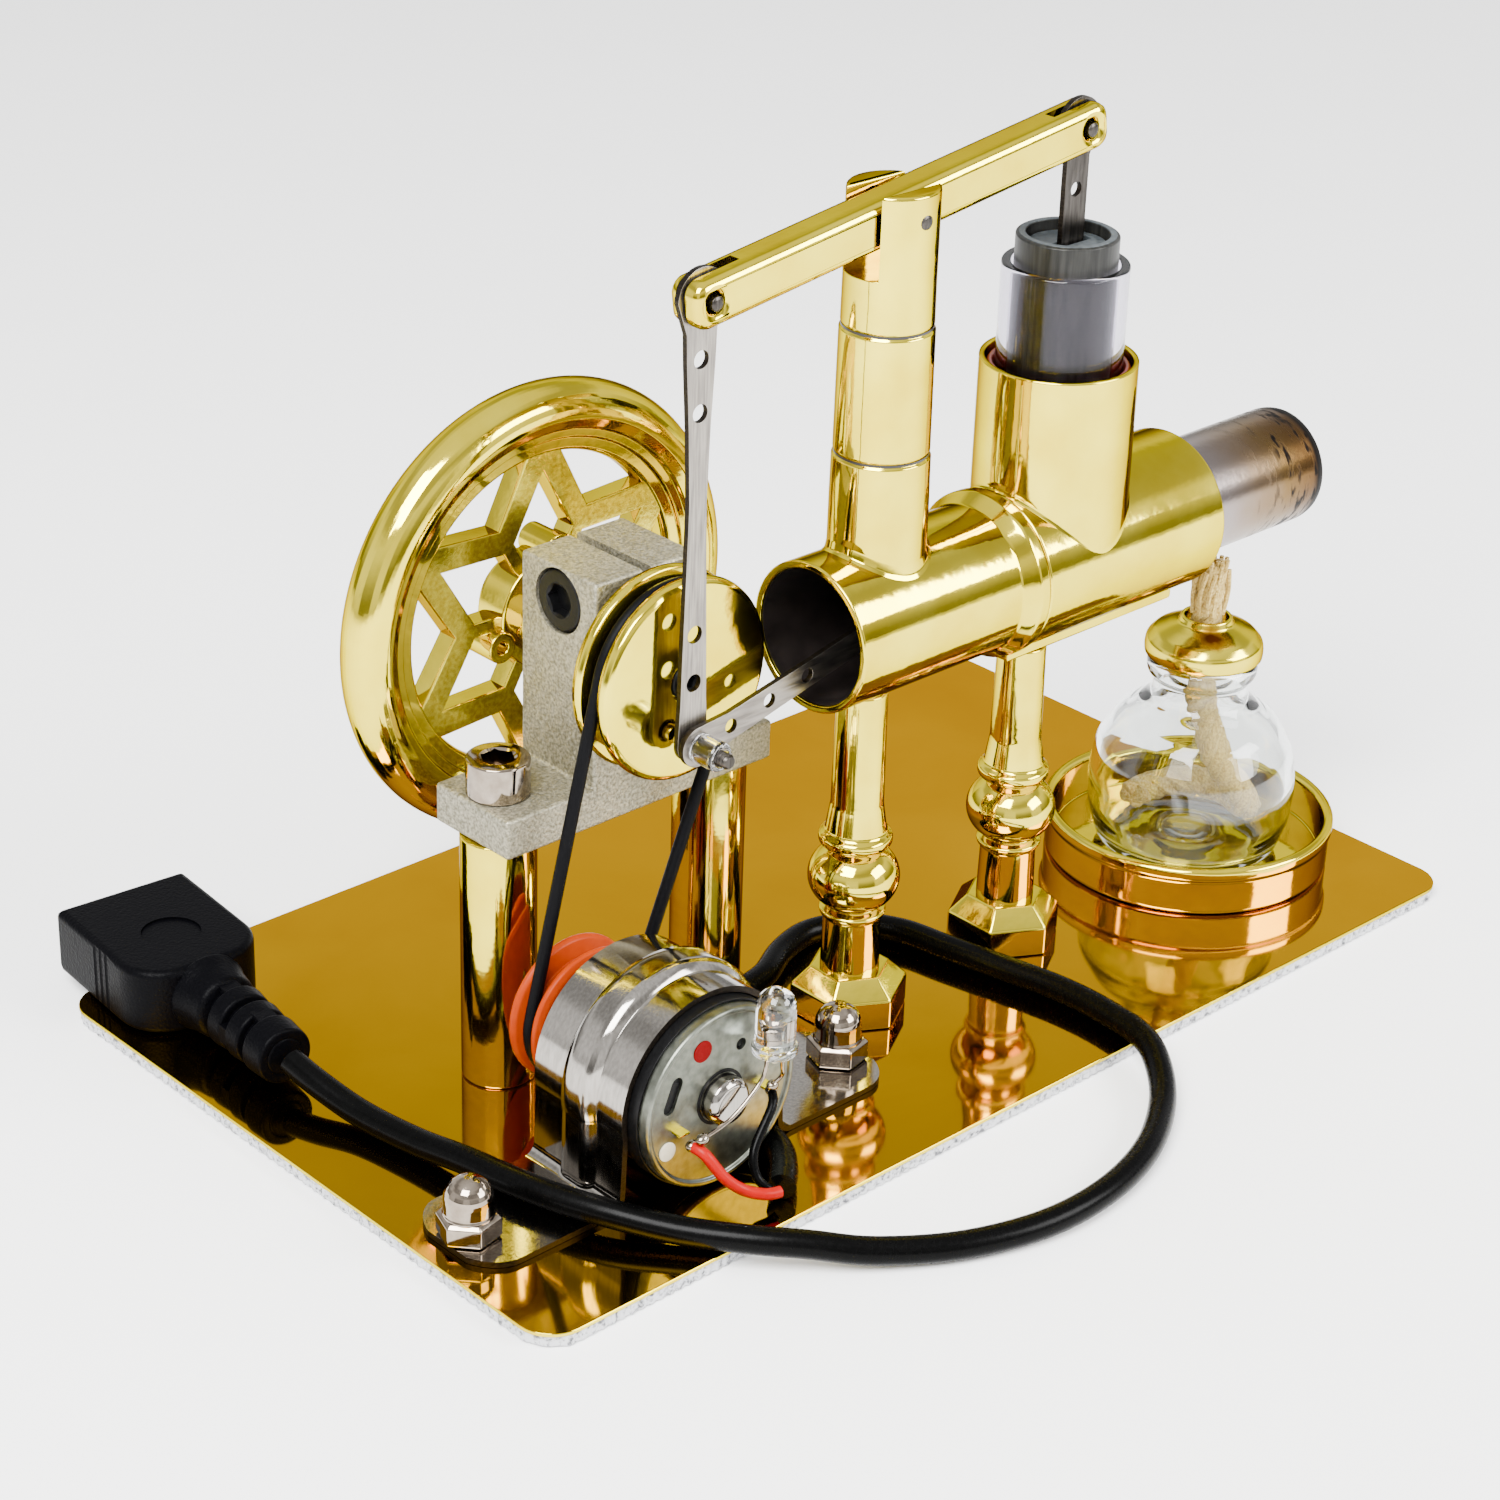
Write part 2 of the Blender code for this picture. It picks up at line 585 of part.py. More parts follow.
def posts():
    for name, side in (("left", -1), ("right", 1)):
        centre = (SHAFT_X + side * POST_SPREAD, POST_Y, 0.0)
        low = PLATE_TOP + REST_GAP
        high = BLOCK_BOTTOM - REST_GAP
        profile = [(0.0, low), (POST_RADIUS, low), (POST_RADIUS, high), (2.7, high), (2.7, 31.0), (0.0, 31.0)]
        turned("post_" + name, profile, GOLD, centre, steps=24)
        socket_screw("block_screw_" + name, centre, 32.0, BAR_TOP + REST_GAP, 4.1, 5.0, 2.35, BRIGHT, "Z")


def socket_screw(name, centre, tip, seat, head_radius, head_height, shank, look, axis):
    """Cap screw from its tip to its seat, with a hexagonal socket in the head."""
    sign = 1.0 if seat > tip else -1.0
    crown = seat + sign * head_height
    profile = [(0.0, tip), (shank, tip), (shank, seat), (head_radius, seat)]
    profile += [(head_radius, crown - sign * 0.4), (head_radius - 0.4, crown), (0.0, crown)]
    screw = turned(name, profile, look, centre, axis, 18)
    deep = crown - sign * head_height * 0.55
    low, high = sorted((deep, crown + sign))
    cut(screw, rod("cut_" + name, centre, head_radius * 0.56, low, high, axis, steps=6))


def bearing_block():
    outline = [(-BAR_HALF, BLOCK_BOTTOM), (BAR_HALF, BLOCK_BOTTOM), (BAR_HALF, BAR_TOP)]
    outline += [(UPRIGHT_HALF, BAR_TOP), (UPRIGHT_HALF, BLOCK_TOP), (0.75, BLOCK_TOP), (0.75, 61.0)]
    outline += [(-0.75, 61.0), (-0.75, BLOCK_TOP), (-UPRIGHT_HALF, BLOCK_TOP)]
    outline += [(-UPRIGHT_HALF, BAR_TOP), (-BAR_HALF, BAR_TOP)]
    outline = [(SHAFT_X + a, b) for a, b in outline]
    body = slab("bearing_block", outline, [], BLOCK_FRONT, BLOCK_BACK, CAST)
    soften(body, 0.35, 1)
    centre = (SHAFT_X, 0.0, SHAFT_Z)
    cut(body, rod("cut_shaft_bore", centre, 4.3, BLOCK_FRONT - 1.0, BLOCK_BACK + 1.0, "Y", steps=20))
    for side in (-1, 1):
        centre = (SHAFT_X + side * POST_SPREAD, POST_Y, 0.0)
        cut(body, rod("cut_post_hole", centre, 2.7, BLOCK_BOTTOM - 1.0, BAR_TOP + 1.0, "Z", steps=16))
    centre = (SHAFT_X, POST_Y, 65.9)
    cut(body, rod("cut_clamp_hole", centre, 2.4, -7.0, 4.0, "X", steps=16))
    cut(body, rod("cut_clamp_seat", centre, 4.3, -10.0, -4.9, "X", steps=24))
    socket_screw("clamp_screw", centre, 3.4, -5.2, 4.0, 3.0, 2.1, BLACK, "X")
    for name, low, high, flange in (("front", -8.0, -3.6, -8.85), ("rear", 1.8, 6.2, 7.05)):
        bearing(name, low, high, flange)


def bearing(name, low, high, flange):
    """Flanged bearing ring pressed into one face of the block."""
    if flange < low:
        seat = low - 0.15
        profile = [(1.8, flange), (4.9, flange), (4.9, seat), (4.0, seat), (4.0, high), (1.8, high)]
    else:
        seat = high + 0.15
        profile = [(1.8, low), (4.0, low), (4.0, seat), (4.9, seat), (4.9, flange), (1.8, flange)]
    turned("bearing_" + name, profile, BRIGHT, (SHAFT_X, 0.0, SHAFT_Z), "Y", 20, ring=True)


def flywheel_windows():
    """Openings between the star-shaped spokes, as loops about the hub."""
    outer = 21.3
    inner = 12.2
    half = 1.15
    loops = []
    for k in range(6):
        angle = math.radians(60.0 * k)
        arc = [angle + math.radians(step) for step in (-22.5, -11.0, 0.0, 11.0, 22.5)]
        loop = [(outer * math.cos(a), outer * math.sin(a)) for a in arc]
        loop.append(((inner + 2.0 * half) * math.cos(angle), (inner + 2.0 * half) * math.sin(angle)))
        loops.append(loop)
        middle = angle + math.radians(30.0)
        near = Vector((math.cos(angle), math.sin(angle)))
        far = Vector((math.cos(angle + math.radians(60.0)), math.sin(angle + math.radians(60.0))))
        side = Vector((-near.y, near.x)) * half
        other = Vector((far.y, -far.x)) * half
        tip = Vector((math.cos(middle), math.sin(middle))) * (outer - 2.6)
        loop = [near * 6.6 + side, near * (inner - 1.0) + side, tip]
        loop += [far * (inner - 1.0) + other, far * 6.6 + other]
        loops.append([tuple(point) for point in loop])
    return loops


def flywheel():
    centre = (SHAFT_X, FLYWHEEL_Y, SHAFT_Z)
    r = FLYWHEEL_RADIUS
    rim = [(20.9, -2.4), (23.0, -2.4), (24.0, -3.4), (27.2, -3.8), (r - 1.0, -2.9), (r, -1.0)]
    rim += [(a, -b) for a, b in reversed(rim)]
    body = turned("flywheel", rim, GOLD, centre, "Y", 36, ring=True)
    windows = [[(SHAFT_X + a, SHAFT_Z + b) for a, b in loop] for loop in flywheel_windows()]
    disc = circle((SHAFT_X, SHAFT_Z), 22.0, 36)
    fuse(body, slab("fuse_spokes", disc, windows, FLYWHEEL_Y - 1.6, FLYWHEEL_Y + 1.6, GOLD))
    hub = [(0.0, -4.6), (5.6, -4.6), (5.9, -4.2), (5.9, 4.2), (5.6, 4.6), (0.0, 4.6)]
    fuse(body, turned("fuse_hub", hub, GOLD, centre, "Y", 20))
    cut(body, rod("cut_hub_bore", centre, 1.8, -6.0, 6.0, "Y", steps=16))


def crank_shaft():
    centre = (SHAFT_X, 0.0, SHAFT_Z)
    rod("flywheel_shaft", centre, SHAFT_RADIUS, -13.0, FLYWHEEL_Y + 5.0, "Y", STEEL, 16)
    r = CRANK_RADIUS
    profile = [(0.0, CRANK_FRONT), (r - 0.9, CRANK_FRONT), (r - 0.2, CRANK_FRONT + 0.4)]
    profile += [(r, CRANK_FRONT + 1.1)]
    profile += [(r - 0.2, -13.9), (10.5, -13.3), (10.5, -11.5), (r - 0.2, -10.9), (r, -10.1)]
    profile += [(r - 0.3, CRANK_BACK), (0.0, CRANK_BACK)]
    disc = turned("crank_pulley", profile, GOLD, centre, "Y", 28)
    shaft_hole = rod("cut_crank_bore", centre, 1.8, -13.3, CRANK_BACK + 1.0, "Y", steps=16)
    screw_hole = rod("cut_crank_screw", centre, 1.3, CRANK_FRONT - 1.0, -13.0, "Y", steps=16)
    seat = rod("cut_crank_seat", centre, 2.7, CRANK_FRONT - 1.0, -14.3, "Y", steps=20)
    cut(disc, shaft_hole, screw_hole, seat)
    socket_screw("crank_screw", centre, -13.5, -14.5, 2.4, 1.4, 1.0, BLACK, "Y")


# Generator and belt


def drive_belt():
    """Round belt on its two pulleys, standing 0.3 mm clear of both grooves."""
    big = Vector((SHAFT_X, SHAFT_Z))
    small = Vector((MOTOR_X, MOTOR_Z))
    span = small - big
    toward = math.atan2(span.y, span.x)
    lean = math.acos((CRANK_BELT - GEN_BELT) / span.length)
    points = []
    for k in range(21):
        angle = toward + lean + (2.0 * math.pi - 2.0 * lean) * k / 20.0
        points.append((big.x + CRANK_BELT * math.cos(angle), BELT_Y, big.y + CRANK_BELT * math.sin(angle)))
    for k in range(15):
        angle = toward - lean + 2.0 * lean * k / 14.0
        points.append((small.x + GEN_BELT * math.cos(angle), BELT_Y, small.y + GEN_BELT * math.sin(angle)))
    cord("drive_belt", points, BELT_RADIUS, RUBBER, closed=True, roundness=1)


def generator():
    centre = (MOTOR_X, 0.0, MOTOR_Z)
    r = MOTOR_RADIUS
    can = [(0.0, -36.6), (r, -36.6), (r, -19.1), (r - 0.8, MOTOR_BACK), (3.0, MOTOR_BACK), (3.0, -17.6)]
    can += [(1.3, -17.6), (1.3, -20.0), (0.0, -20.0)]
    turned("generator_can", can, STEEL, centre, "Y", 32)
    cap = [(0.0, -40.0), (2.6, -40.0), (2.9, -39.7), (2.9, -38.5), (11.2, -38.5), (11.4, MOTOR_FRONT)]
    cap += [(11.9, MOTOR_FRONT), (12.1, -38.6), (12.1, -36.8), (0.0, -36.8)]
    end_cap = turned("generator_end_cap", cap, ((0.26, 0.30, 0.28), 0.35, 0.8), centre, "Y", 32)
    for angle in (60.0, 240.0):
        x = MOTOR_X + 7.0 * math.cos(math.radians(angle))
        z = MOTOR_Z + 7.0 * math.sin(math.radians(angle))
        cut(end_cap, rod("cut_cap_hole", (x, 0.0, z), 0.8, -39.5, -37.6, "Y", steps=12))
    rod("generator_shaft", centre, 1.0, -19.6, -9.9, "Y", BRIGHT, 12)
    f = GEN_FLANGE
    orange = ((0.95, 0.09, 0.0), 0.35, 0.0)
    wheel = [(1.25, -15.2), (f - 0.6, -15.2), (f, -14.7), (f - 0.3, -14.0), (7.2, -13.3), (7.2, -11.5)]
    wheel += [(f - 0.3, -10.8), (f, -10.1), (f - 0.6, -9.6), (1.25, -9.6)]
    turned("generator_pulley", wheel, orange, centre, "Y", 24, ring=True)


def strap_path():
    """Points of the strap's inner face, from its left foot over the can to its right foot."""
    inner = MOTOR_RADIUS + 0.45
    floor = PLATE_TOP + REST_GAP
    bend = 2.4
    wall = inner + 0.1
    points = [(-STRAP_FOOT, floor), (-STRAP_FOOT + 1.6, floor), (-STRAP_FOOT + 5.0, floor)]
    for k in range(5):
        angle = -math.pi / 2.0 + math.pi / 2.0 * k / 4.0
        x = -wall - bend + bend * math.cos(angle)
        points.append((x, floor + bend + bend * math.sin(angle)))
    for k in range(17):
        angle = math.pi * (1.06 - 1.12 * k / 16.0)
        points.append((inner * math.cos(angle), MOTOR_Z + inner * math.sin(angle)))
    mirrored = [(-x, z) for x, z in reversed(points[:8])]
    return [(MOTOR_X + x, z) for x, z in points + mirrored]


def generator_strap():
    """Sheet strap with a raised bead, bent over the can and bolted down at both feet."""
    path = strap_path()
    stations = [(STRAP_FRONT, 0.0), (-30.6, 0.0), (-29.7, 0.7)]
    stations += [(-26.3, 0.7), (-25.4, 0.0), (STRAP_BACK, 0.0)]
    middle = 0.5 * (STRAP_FRONT + STRAP_BACK)
    shape = bmesh.new()
    faces = []
    for level in (0.0, STRAP_SHEET):
        grid = []
        for i, (x, z) in enumerate(path):
            before = Vector(path[max(i - 1, 0)])
            after = Vector(path[min(i + 1, len(path) - 1)])
            along = (after - before).normalized()
            out = Vector((-along.y, along.x))
            edge = min(i, len(path) - 1 - i)
            narrow = (0.42, 0.80)[edge] if edge < 2 else 1.0
            row = []
            for y, bump in stations:
                lift = level + (bump if edge > 7 else 0.0)
                across = middle + (y - middle) * narrow
                row.append(shape.verts.new((x + out.x * lift, across, z + out.y * lift)))
            grid.append(row)
        faces.append(grid)
    inner, outer = faces
    count = len(path)
    for grid in (inner, outer):
        for i in range(count - 1):
            for j in range(len(stations) - 1):
                shape.faces.new((grid[i][j], grid[i + 1][j], grid[i + 1][j + 1], grid[i][j + 1]))
    for i in range(count - 1):
        for j in (0, len(stations) - 1):
            shape.faces.new((inner[i][j], inner[i + 1][j], outer[i + 1][j], outer[i][j]))
    for i in (0, count - 1):
        for j in range(len(stations) - 1):
            shape.faces.new((inner[i][j], inner[i][j + 1], outer[i][j + 1], outer[i][j]))
    add_mesh("generator_strap", shape, BRIGHT)
    for name, side in (("left", -1), ("right", 1)):
        strap_nut(name, MOTOR_X + side * NUT_SPREAD)


def strap_nut(name, x):
    """Domed nut standing on a foot of the strap."""
    floor = PLATE_TOP + REST_GAP + STRAP_SHEET + REST_GAP
    centre = (x, 0.5 * (STRAP_FRONT + STRAP_BACK), floor)
    hexagon = [(0.0, 0.0), (4.0, 0.0), (4.0, 3.0), (0.0, 3.0)]
    body = turned("strap_nut_" + name, hexagon, BRIGHT, centre, steps=6)
    dome = [(0.0, 2.5), (3.2, 2.5), (3.2, 5.0), (2.75, 6.5), (1.7, 7.6), (0.0, 8.1)]
    fuse(body, turned("fuse_nut_" + name, dome, BRIGHT, centre, steps=16))


def lamp():
    """Light-emitting diode soldered across the generator's terminals."""
    base = Vector((-42.8, -42.4, 21.0))
    profile = [(0.0, 0.0), (2.85, 0.0), (2.85, 0.9), (2.5, 0.9), (2.5, 6.1), (2.2, 7.4)]
    profile += [(1.3, 8.4), (0.0, 8.7)]
    turned("led", profile, GLASS, tuple(base), steps=16)
    left = [(-44.0, -42.4, 20.7), (-44.6, -42.2, 17.5), (-49.0, -42.0, 13.9), (-53.4, -41.4, 12.2)]
    right = [(-41.6, -42.4, 20.7), (-41.2, -42.2, 18.0), (-40.9, -41.9, 16.5), (-41.6, -41.0, 14.9)]
    cord("led_lead_left", smooth_path(left, 10), 0.28, STEEL, roundness=1)
    cord("led_lead_right", smooth_path(right, 8), 0.28, STEEL, roundness=1)


RED_ROUTE = [(-54.0, -40.2, 10.9), (-53.6, -42.2, 10.4), (-52.2, -44.0, 7.6), (-50.2, -45.4, 5.6)]
RED_ROUTE += [(-48.0, -47.0, 4.8), (-46.0, -47.6, 4.6)]
BLACK_ROUTE = [(-41.0, -40.2, 13.6), (-42.4, -41.9, 12.6), (-46.4, -43.2, 8.6), (-47.2, -44.6, 5.8)]
BLACK_ROUTE += [(-46.4, -46.2, 4.3), (-45.5, -46.7, 3.5)]
CABLE_ROUTE = [(-44.4, -46.2, 3.9), (-41.6, -43.6, 3.9), (-39.2, -40.4, 3.9), (-38.0, -36.4, 3.9)]
CABLE_ROUTE += [(-37.8, -31.0, 3.9), (-37.8, -25.5, 3.9), (-37.4, -20.0, 3.9), (-35.2, -14.6, 3.9)]
CABLE_ROUTE += [(-30.4, -10.6, 3.9), (-24.0, -8.9, 3.9), (-17.6, -8.9, 3.9), (-11.6, -7.9, 3.9)]
CABLE_ROUTE += [(-5.0, -4.6, 3.9), (1.6, -3.4, 3.9), (7.6, -6.2, 3.9), (11.4, -11.6, 3.9)]
CABLE_ROUTE += [(12.9, -18.5, 3.9), (14.8, -27.0, 3.9), (16.6, -35.6, 3.9), (17.0, -43.4, 3.9)]
CABLE_ROUTE += [(16.0, -51.6, 3.9), (13.2, -57.0, 3.0), (7.6, -62.6, 2.0), (-1.6, -68.0, 1.9)]
CABLE_ROUTE += [(-12.0, -70.8, 1.9), (-23.0, -70.8, 1.9), (-34.0, -67.4, 1.9), (-43.6, -61.8, 2.4)]
CABLE_ROUTE += [(-50.0, -56.6, 3.5), (-55.0, -51.9, 3.95), (-60.4, -45.2, 4.2), (-64.6, -38.6, 4.8)]
CABLE_ROUTE += [(-67.6, -31.6, 4.9), (-69.6, -24.6, 4.9), (-71.0, -17.6, 4.8), (-72.4, -9.4, 4.1)]
CABLE_ROUTE += [(-73.8, -0.4, 4.2), (-75.0, 7.0, 5.6), (-75.4, 12.0, 6.6)]


def wires():
    cord("red_lead", smooth_path(RED_ROUTE, 16), 0.75, ((0.72, 0.01, 0.01), 0.35, 0.0), roundness=1)
    cord("black_lead", smooth_path(BLACK_ROUTE, 16), 0.6, BLACK, roundness=1)
    cord("cable", smooth_path(CABLE_ROUTE, 66), CABLE_RADIUS, BLACK)


def socket_object(obj):
    """Turn and shift an object built in the socket's own frame, with +Y toward its mouth."""
    obj.rotation_euler = (0.0, 0.0, SOCKET_YAW)
    obj.location = SOCKET_END * MM
    return obj


def usb_socket():
    """Moulded socket housing, its metal shell and contact tongue, and the ribbed strain relief."""
    half = 9.6
    long = 22.0
    outline = [(-half + 0.8, long), (-half, long - 0.8), (-half, 5.4), (-half + 1.4, 2.2), (-half + 4.6, 0.3)]
    outline += [(-a, b) for a, b in reversed(outline)]
    body = socket_object(slab("usb_housing", outline, [], -4.6, 4.6, BLACK, "Z"))
    soften(body, 0.7, 2)
    mouth = block("cut_usb_mouth", (-6.9, 6.0, -3.1), (6.9, long + 2.0, 3.1))
    dimple = rod("cut_usb_dimple", (0.0, 8.6, 0.0), 3.5, 4.2, 6.0, "Z", steps=20)
    for helper in (mouth, dimple):
        cut(body, socket_object(helper))
    for k in range(3):
        for side in (-1, 1):
            centre = (side * (half + 0.35), 8.2 + 1.5 * k, 0.0)
            groove = rod("cut_usb_groove", centre, 0.55, -3.7, 3.7, "Z", steps=8)
            groove.data.transform(Matrix.Translation(Vector(centre) * MM))
            cut(body, socket_object(groove))
    shell_outline = rounded_rectangle(6.6, 2.8, 0.5, 2)
    shell_hole = rounded_rectangle(6.25, 2.45, 0.3, 2)
    shell = slab("usb_shell", shell_outline, [shell_hole], 8.0, long - 0.1, BRIGHT, "Y")
    socket_object(shell)
    tongue = block("usb_tongue", (-5.4, 6.4, -2.0), (5.4, long - 2.0, -0.1), ((0.85, 0.85, 0.83), 0.5, 0.0))
    socket_object(tongue)
    relief = [(0.0, -0.3), (4.4, -0.3), (4.4, -4.4), (3.3, -4.7), (3.3, -6.3), (4.1, -6.6), (4.0, -9.2)]
    relief += [(3.1, -9.5), (3.1, -11.1), (3.8, -11.4), (3.7, -14.0), (3.0, -14.3), (3.0, -15.7)]
    relief += [(3.6, -16.0), (3.5, -20.2), (2.9, -20.8), (0.0, -20.8)]
    socket_object(turned("usb_relief", relief, BLACK, (0.0, 0.0, 0.0), "Y", 14))


# Burner


def burner():
    centre = (BURNER_X, AXIS_Y, 0.0)
    r = TRAY_RADIUS
    low = PLATE_TOP + REST_GAP
    tray = [(0.0, low), (r - 0.8, low), (r - 0.4, low + 0.4), (r - 0.4, 7.4), (r, 7.8), (r, TRAY_TOP - 0.4)]
    tray += [(r - 0.4, TRAY_TOP), (r - 1.2, TRAY_TOP), (r - 1.6, TRAY_TOP - 0.6), (r - 1.6, 3.2), (0.0, 3.2)]
    turned("burner_tray", tray, GOLD, centre, steps=28)
    outside = [(0.0, BOTTLE_BOTTOM), (12.2, BOTTLE_BOTTOM), (13.2, 4.4), (14.6, 9.0), (15.0, 14.0)]
    outside += [(14.3, 19.0), (11.6, 23.6), (8.2, 26.2), (6.9, 27.6), (6.9, 30.2), (7.9, 30.9), (7.9, 33.0)]
    inside = [(5.6, 33.3), (5.6, 28.0), (7.2, 25.2), (10.6, 22.4), (13.1, 18.4), (13.7, 14.0)]
    inside += [(13.3, 9.4), (12.0, 5.4), (11.2, 5.0), (0.0, 5.0)]
    turned("burner_bottle", outside + [(7.5, 33.3)] + inside, GLASS, centre, steps=24)
    cap = [(3.1, 33.5), (8.4, 33.5), (8.5, 35.0), (8.0, 36.6), (6.2, 38.0), (4.2, 38.7), (3.6, 39.6)]
    turned("burner_cap", cap + [(3.1, 39.6)], GOLD, centre, steps=24, ring=True)
    top = Vector((BURNER_X, AXIS_Y, WICK_TOP))
    steps = [(0.0, 0.0, 0.0), (0.0, 0.0, -10.0), (0.0, 0.0, -17.0), (0.8, -0.4, -25.0)]
    steps += [(2.2, -0.4, -33.0), (1.0, 1.4, -38.4), (-4.4, 3.8, -40.6)]
    route = [top + Vector(step) for step in steps]
    cord("burner_wick", smooth_path(route, 20), WICK_RADIUS, ((0.75, 0.62, 0.42), 0.9, 0.0), roundness=1)


def build():
    clear_scene()
    base_plate()
    leg("leg_front", LEG_FRONT_X, TUBE_Z - TUBE_RADIUS - 0.3)
    leg("leg_rear", LEG_REAR_X, KEEL_BOTTOM - 0.3)
    engine_front()
    engine_rear()
    hot_end()
    displacer()
    power_cylinder()
    power_piston()
    beam()
    beam_rod()
    displacer_link()
    piston_link()
    posts()
    bearing_block()
    flywheel()
    crank_shaft()
    drive_belt()
    generator()
    generator_strap()
    lamp()
    wires()
    usb_socket()
    burner()


build()
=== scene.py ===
# %% [markdown]
# # A model hot-air engine, dressed for its picture
#
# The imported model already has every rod, wheel and screw in its true place, but its surfaces are plain
# facets. This script keeps those places and gives each piece the shape and finish of the real one: gold
# plated castings on an amber mirror plate, brushed steel links, glass, cotton, rubber and cable.
# All sizes here are millimetres, and one factor turns them into metres where a mesh is made.

import math

import bmesh
import bpy
from mathutils import Matrix, Vector


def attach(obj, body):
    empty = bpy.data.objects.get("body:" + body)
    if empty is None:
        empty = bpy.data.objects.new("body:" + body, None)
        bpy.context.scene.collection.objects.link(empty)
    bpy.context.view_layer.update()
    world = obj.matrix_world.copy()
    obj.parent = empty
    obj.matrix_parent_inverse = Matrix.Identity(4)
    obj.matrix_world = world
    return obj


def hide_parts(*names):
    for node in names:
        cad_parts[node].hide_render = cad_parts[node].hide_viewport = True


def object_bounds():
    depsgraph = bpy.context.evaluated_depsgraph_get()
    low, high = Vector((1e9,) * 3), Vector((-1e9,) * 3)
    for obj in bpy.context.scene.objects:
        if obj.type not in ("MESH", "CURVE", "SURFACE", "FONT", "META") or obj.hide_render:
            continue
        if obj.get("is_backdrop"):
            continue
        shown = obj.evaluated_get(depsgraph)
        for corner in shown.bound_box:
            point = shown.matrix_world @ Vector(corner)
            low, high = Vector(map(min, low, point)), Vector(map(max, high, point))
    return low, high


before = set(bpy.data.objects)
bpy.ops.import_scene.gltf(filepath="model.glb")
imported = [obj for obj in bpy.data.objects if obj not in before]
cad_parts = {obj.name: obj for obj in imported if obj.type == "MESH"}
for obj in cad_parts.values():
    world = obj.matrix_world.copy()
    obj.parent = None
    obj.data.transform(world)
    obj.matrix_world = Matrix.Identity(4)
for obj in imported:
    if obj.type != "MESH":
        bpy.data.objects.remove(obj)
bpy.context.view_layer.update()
MM = 0.001

# %% [markdown]
# ## Camera, table and light
#
# The camera stands in front of the generator's corner, a little above the beam, as someone would look at
# the engine on a desk. A long lens keeps the plate's edges nearly parallel. Its place is given by the
# point it stands at and the direction it looks in, with a small roll, and the three axes of the camera
# are built from those.

# %% Camera
def look_along(direction, roll_degrees):
    """Rotation of a camera that looks along a direction, tipped sideways by a small roll."""
    ahead = Vector(direction).normalized()
    side = ahead.cross(Vector((0.0, 0.0, 1.0))).normalized()
    above = side.cross(ahead)
    roll = math.radians(roll_degrees)
    right = math.cos(roll) * side + math.sin(roll) * above
    top = math.cos(roll) * above - math.sin(roll) * side
    return Matrix((right, top, -ahead)).transposed().to_4x4()


camera_data = bpy.data.cameras.new("desk_camera")
camera_data.lens = 82.7
camera_data.sensor_width = 36.0
camera = bpy.data.objects.new("desk_camera", camera_data)
bpy.context.scene.collection.objects.link(camera)
CAMERA_PLACE = Vector((-291.7, -296.0, 242.1)) * MM
camera.matrix_world = Matrix.Translation(CAMERA_PLACE) @ look_along((0.6171, 0.6437, -0.4529), 1.87)
bpy.context.scene.camera = camera
print("camera stands at", [round(v, 4) for v in CAMERA_PLACE])

# %% [markdown]
# ## Two small helpers for finishes
#
# Paint and metal charts give colours as sRGB hex values, and a shader works in linear light, so one
# function turns the first into the second. A second adds one node to a material, with its own settings
# and with what feeds each of its inputs, because almost every line of a node material does just that.

# %% Colour and node helpers
def linear(hex_colour):
    """Linear RGBA of an sRGB hex colour."""
    channels = [int(hex_colour[i:i + 2], 16) / 255.0 for i in (1, 3, 5)]
    return (*[c / 12.92 if c <= 0.04045 else ((c + 0.055) / 1.055) ** 2.4 for c in channels], 1.0)


def add(tree, kind, inputs=None, **settings):
    """Add a node with its settings. An input takes either a value or the socket that feeds it."""
    node = tree.nodes.new(kind)
    for name, value in settings.items():
        setattr(node, name, value)
    for socket, source in (inputs or {}).items():
        if isinstance(source, bpy.types.NodeSocket):
            tree.links.new(source, node.inputs[socket])
        else:
            node.inputs[socket].default_value = source
    return node


def new_finish(name, **shader_values):
    """A material with its shader's fixed values set, and the coordinates that its patterns use."""
    material = bpy.data.materials.new(name)
    material.use_nodes = True
    tree = material.node_tree
    shader = tree.nodes["Principled BSDF"]
    for socket, value in shader_values.items():
        shader.inputs[socket.replace("_", " ")].default_value = value
    place = add(tree, "ShaderNodeTexCoord").outputs["Object"]
    return material, tree, shader, place


def fine(size_mm):
    """Pattern scale, in cycles per metre, for a detail of this size."""
    return 1000.0 / size_mm


# %% [markdown]
# The table is a pale, faintly mottled board much larger than the view. It is part of the setting and not
# of the engine, so it is marked as stage.

# %% Table
def pale_table_paint():
    material, tree, shader, place = new_finish("pale_table_paint", Roughness=0.6)
    mottle = add(tree, "ShaderNodeTexNoise", {"Vector": place, "Scale": fine(60.0), "Detail": 5.0})
    tint = add(tree, "ShaderNodeValToRGB", {"Fac": mottle.outputs["Fac"]})
    tint.color_ramp.elements[0].color = linear("#FAFAF9")
    tint.color_ramp.elements[1].color = linear("#FFFFFF")
    tree.links.new(tint.outputs["Color"], shader.inputs["Base Color"])
    return material


def flat_square(name, half, height):
    mesh = bpy.data.meshes.new(name)
    corners = [(-half, -half, height), (half, -half, height), (half, half, height), (-half, half, height)]
    mesh.from_pydata(corners, [], [(0, 1, 2, 3)])
    thing = bpy.data.objects.new(name, mesh)
    bpy.context.scene.collection.objects.link(thing)
    return thing


table = flat_square("table_top", 4.0, -0.0002)
table.data.materials.append(pale_table_paint())
table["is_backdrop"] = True
print("table is", table.dimensions[0], "m square")

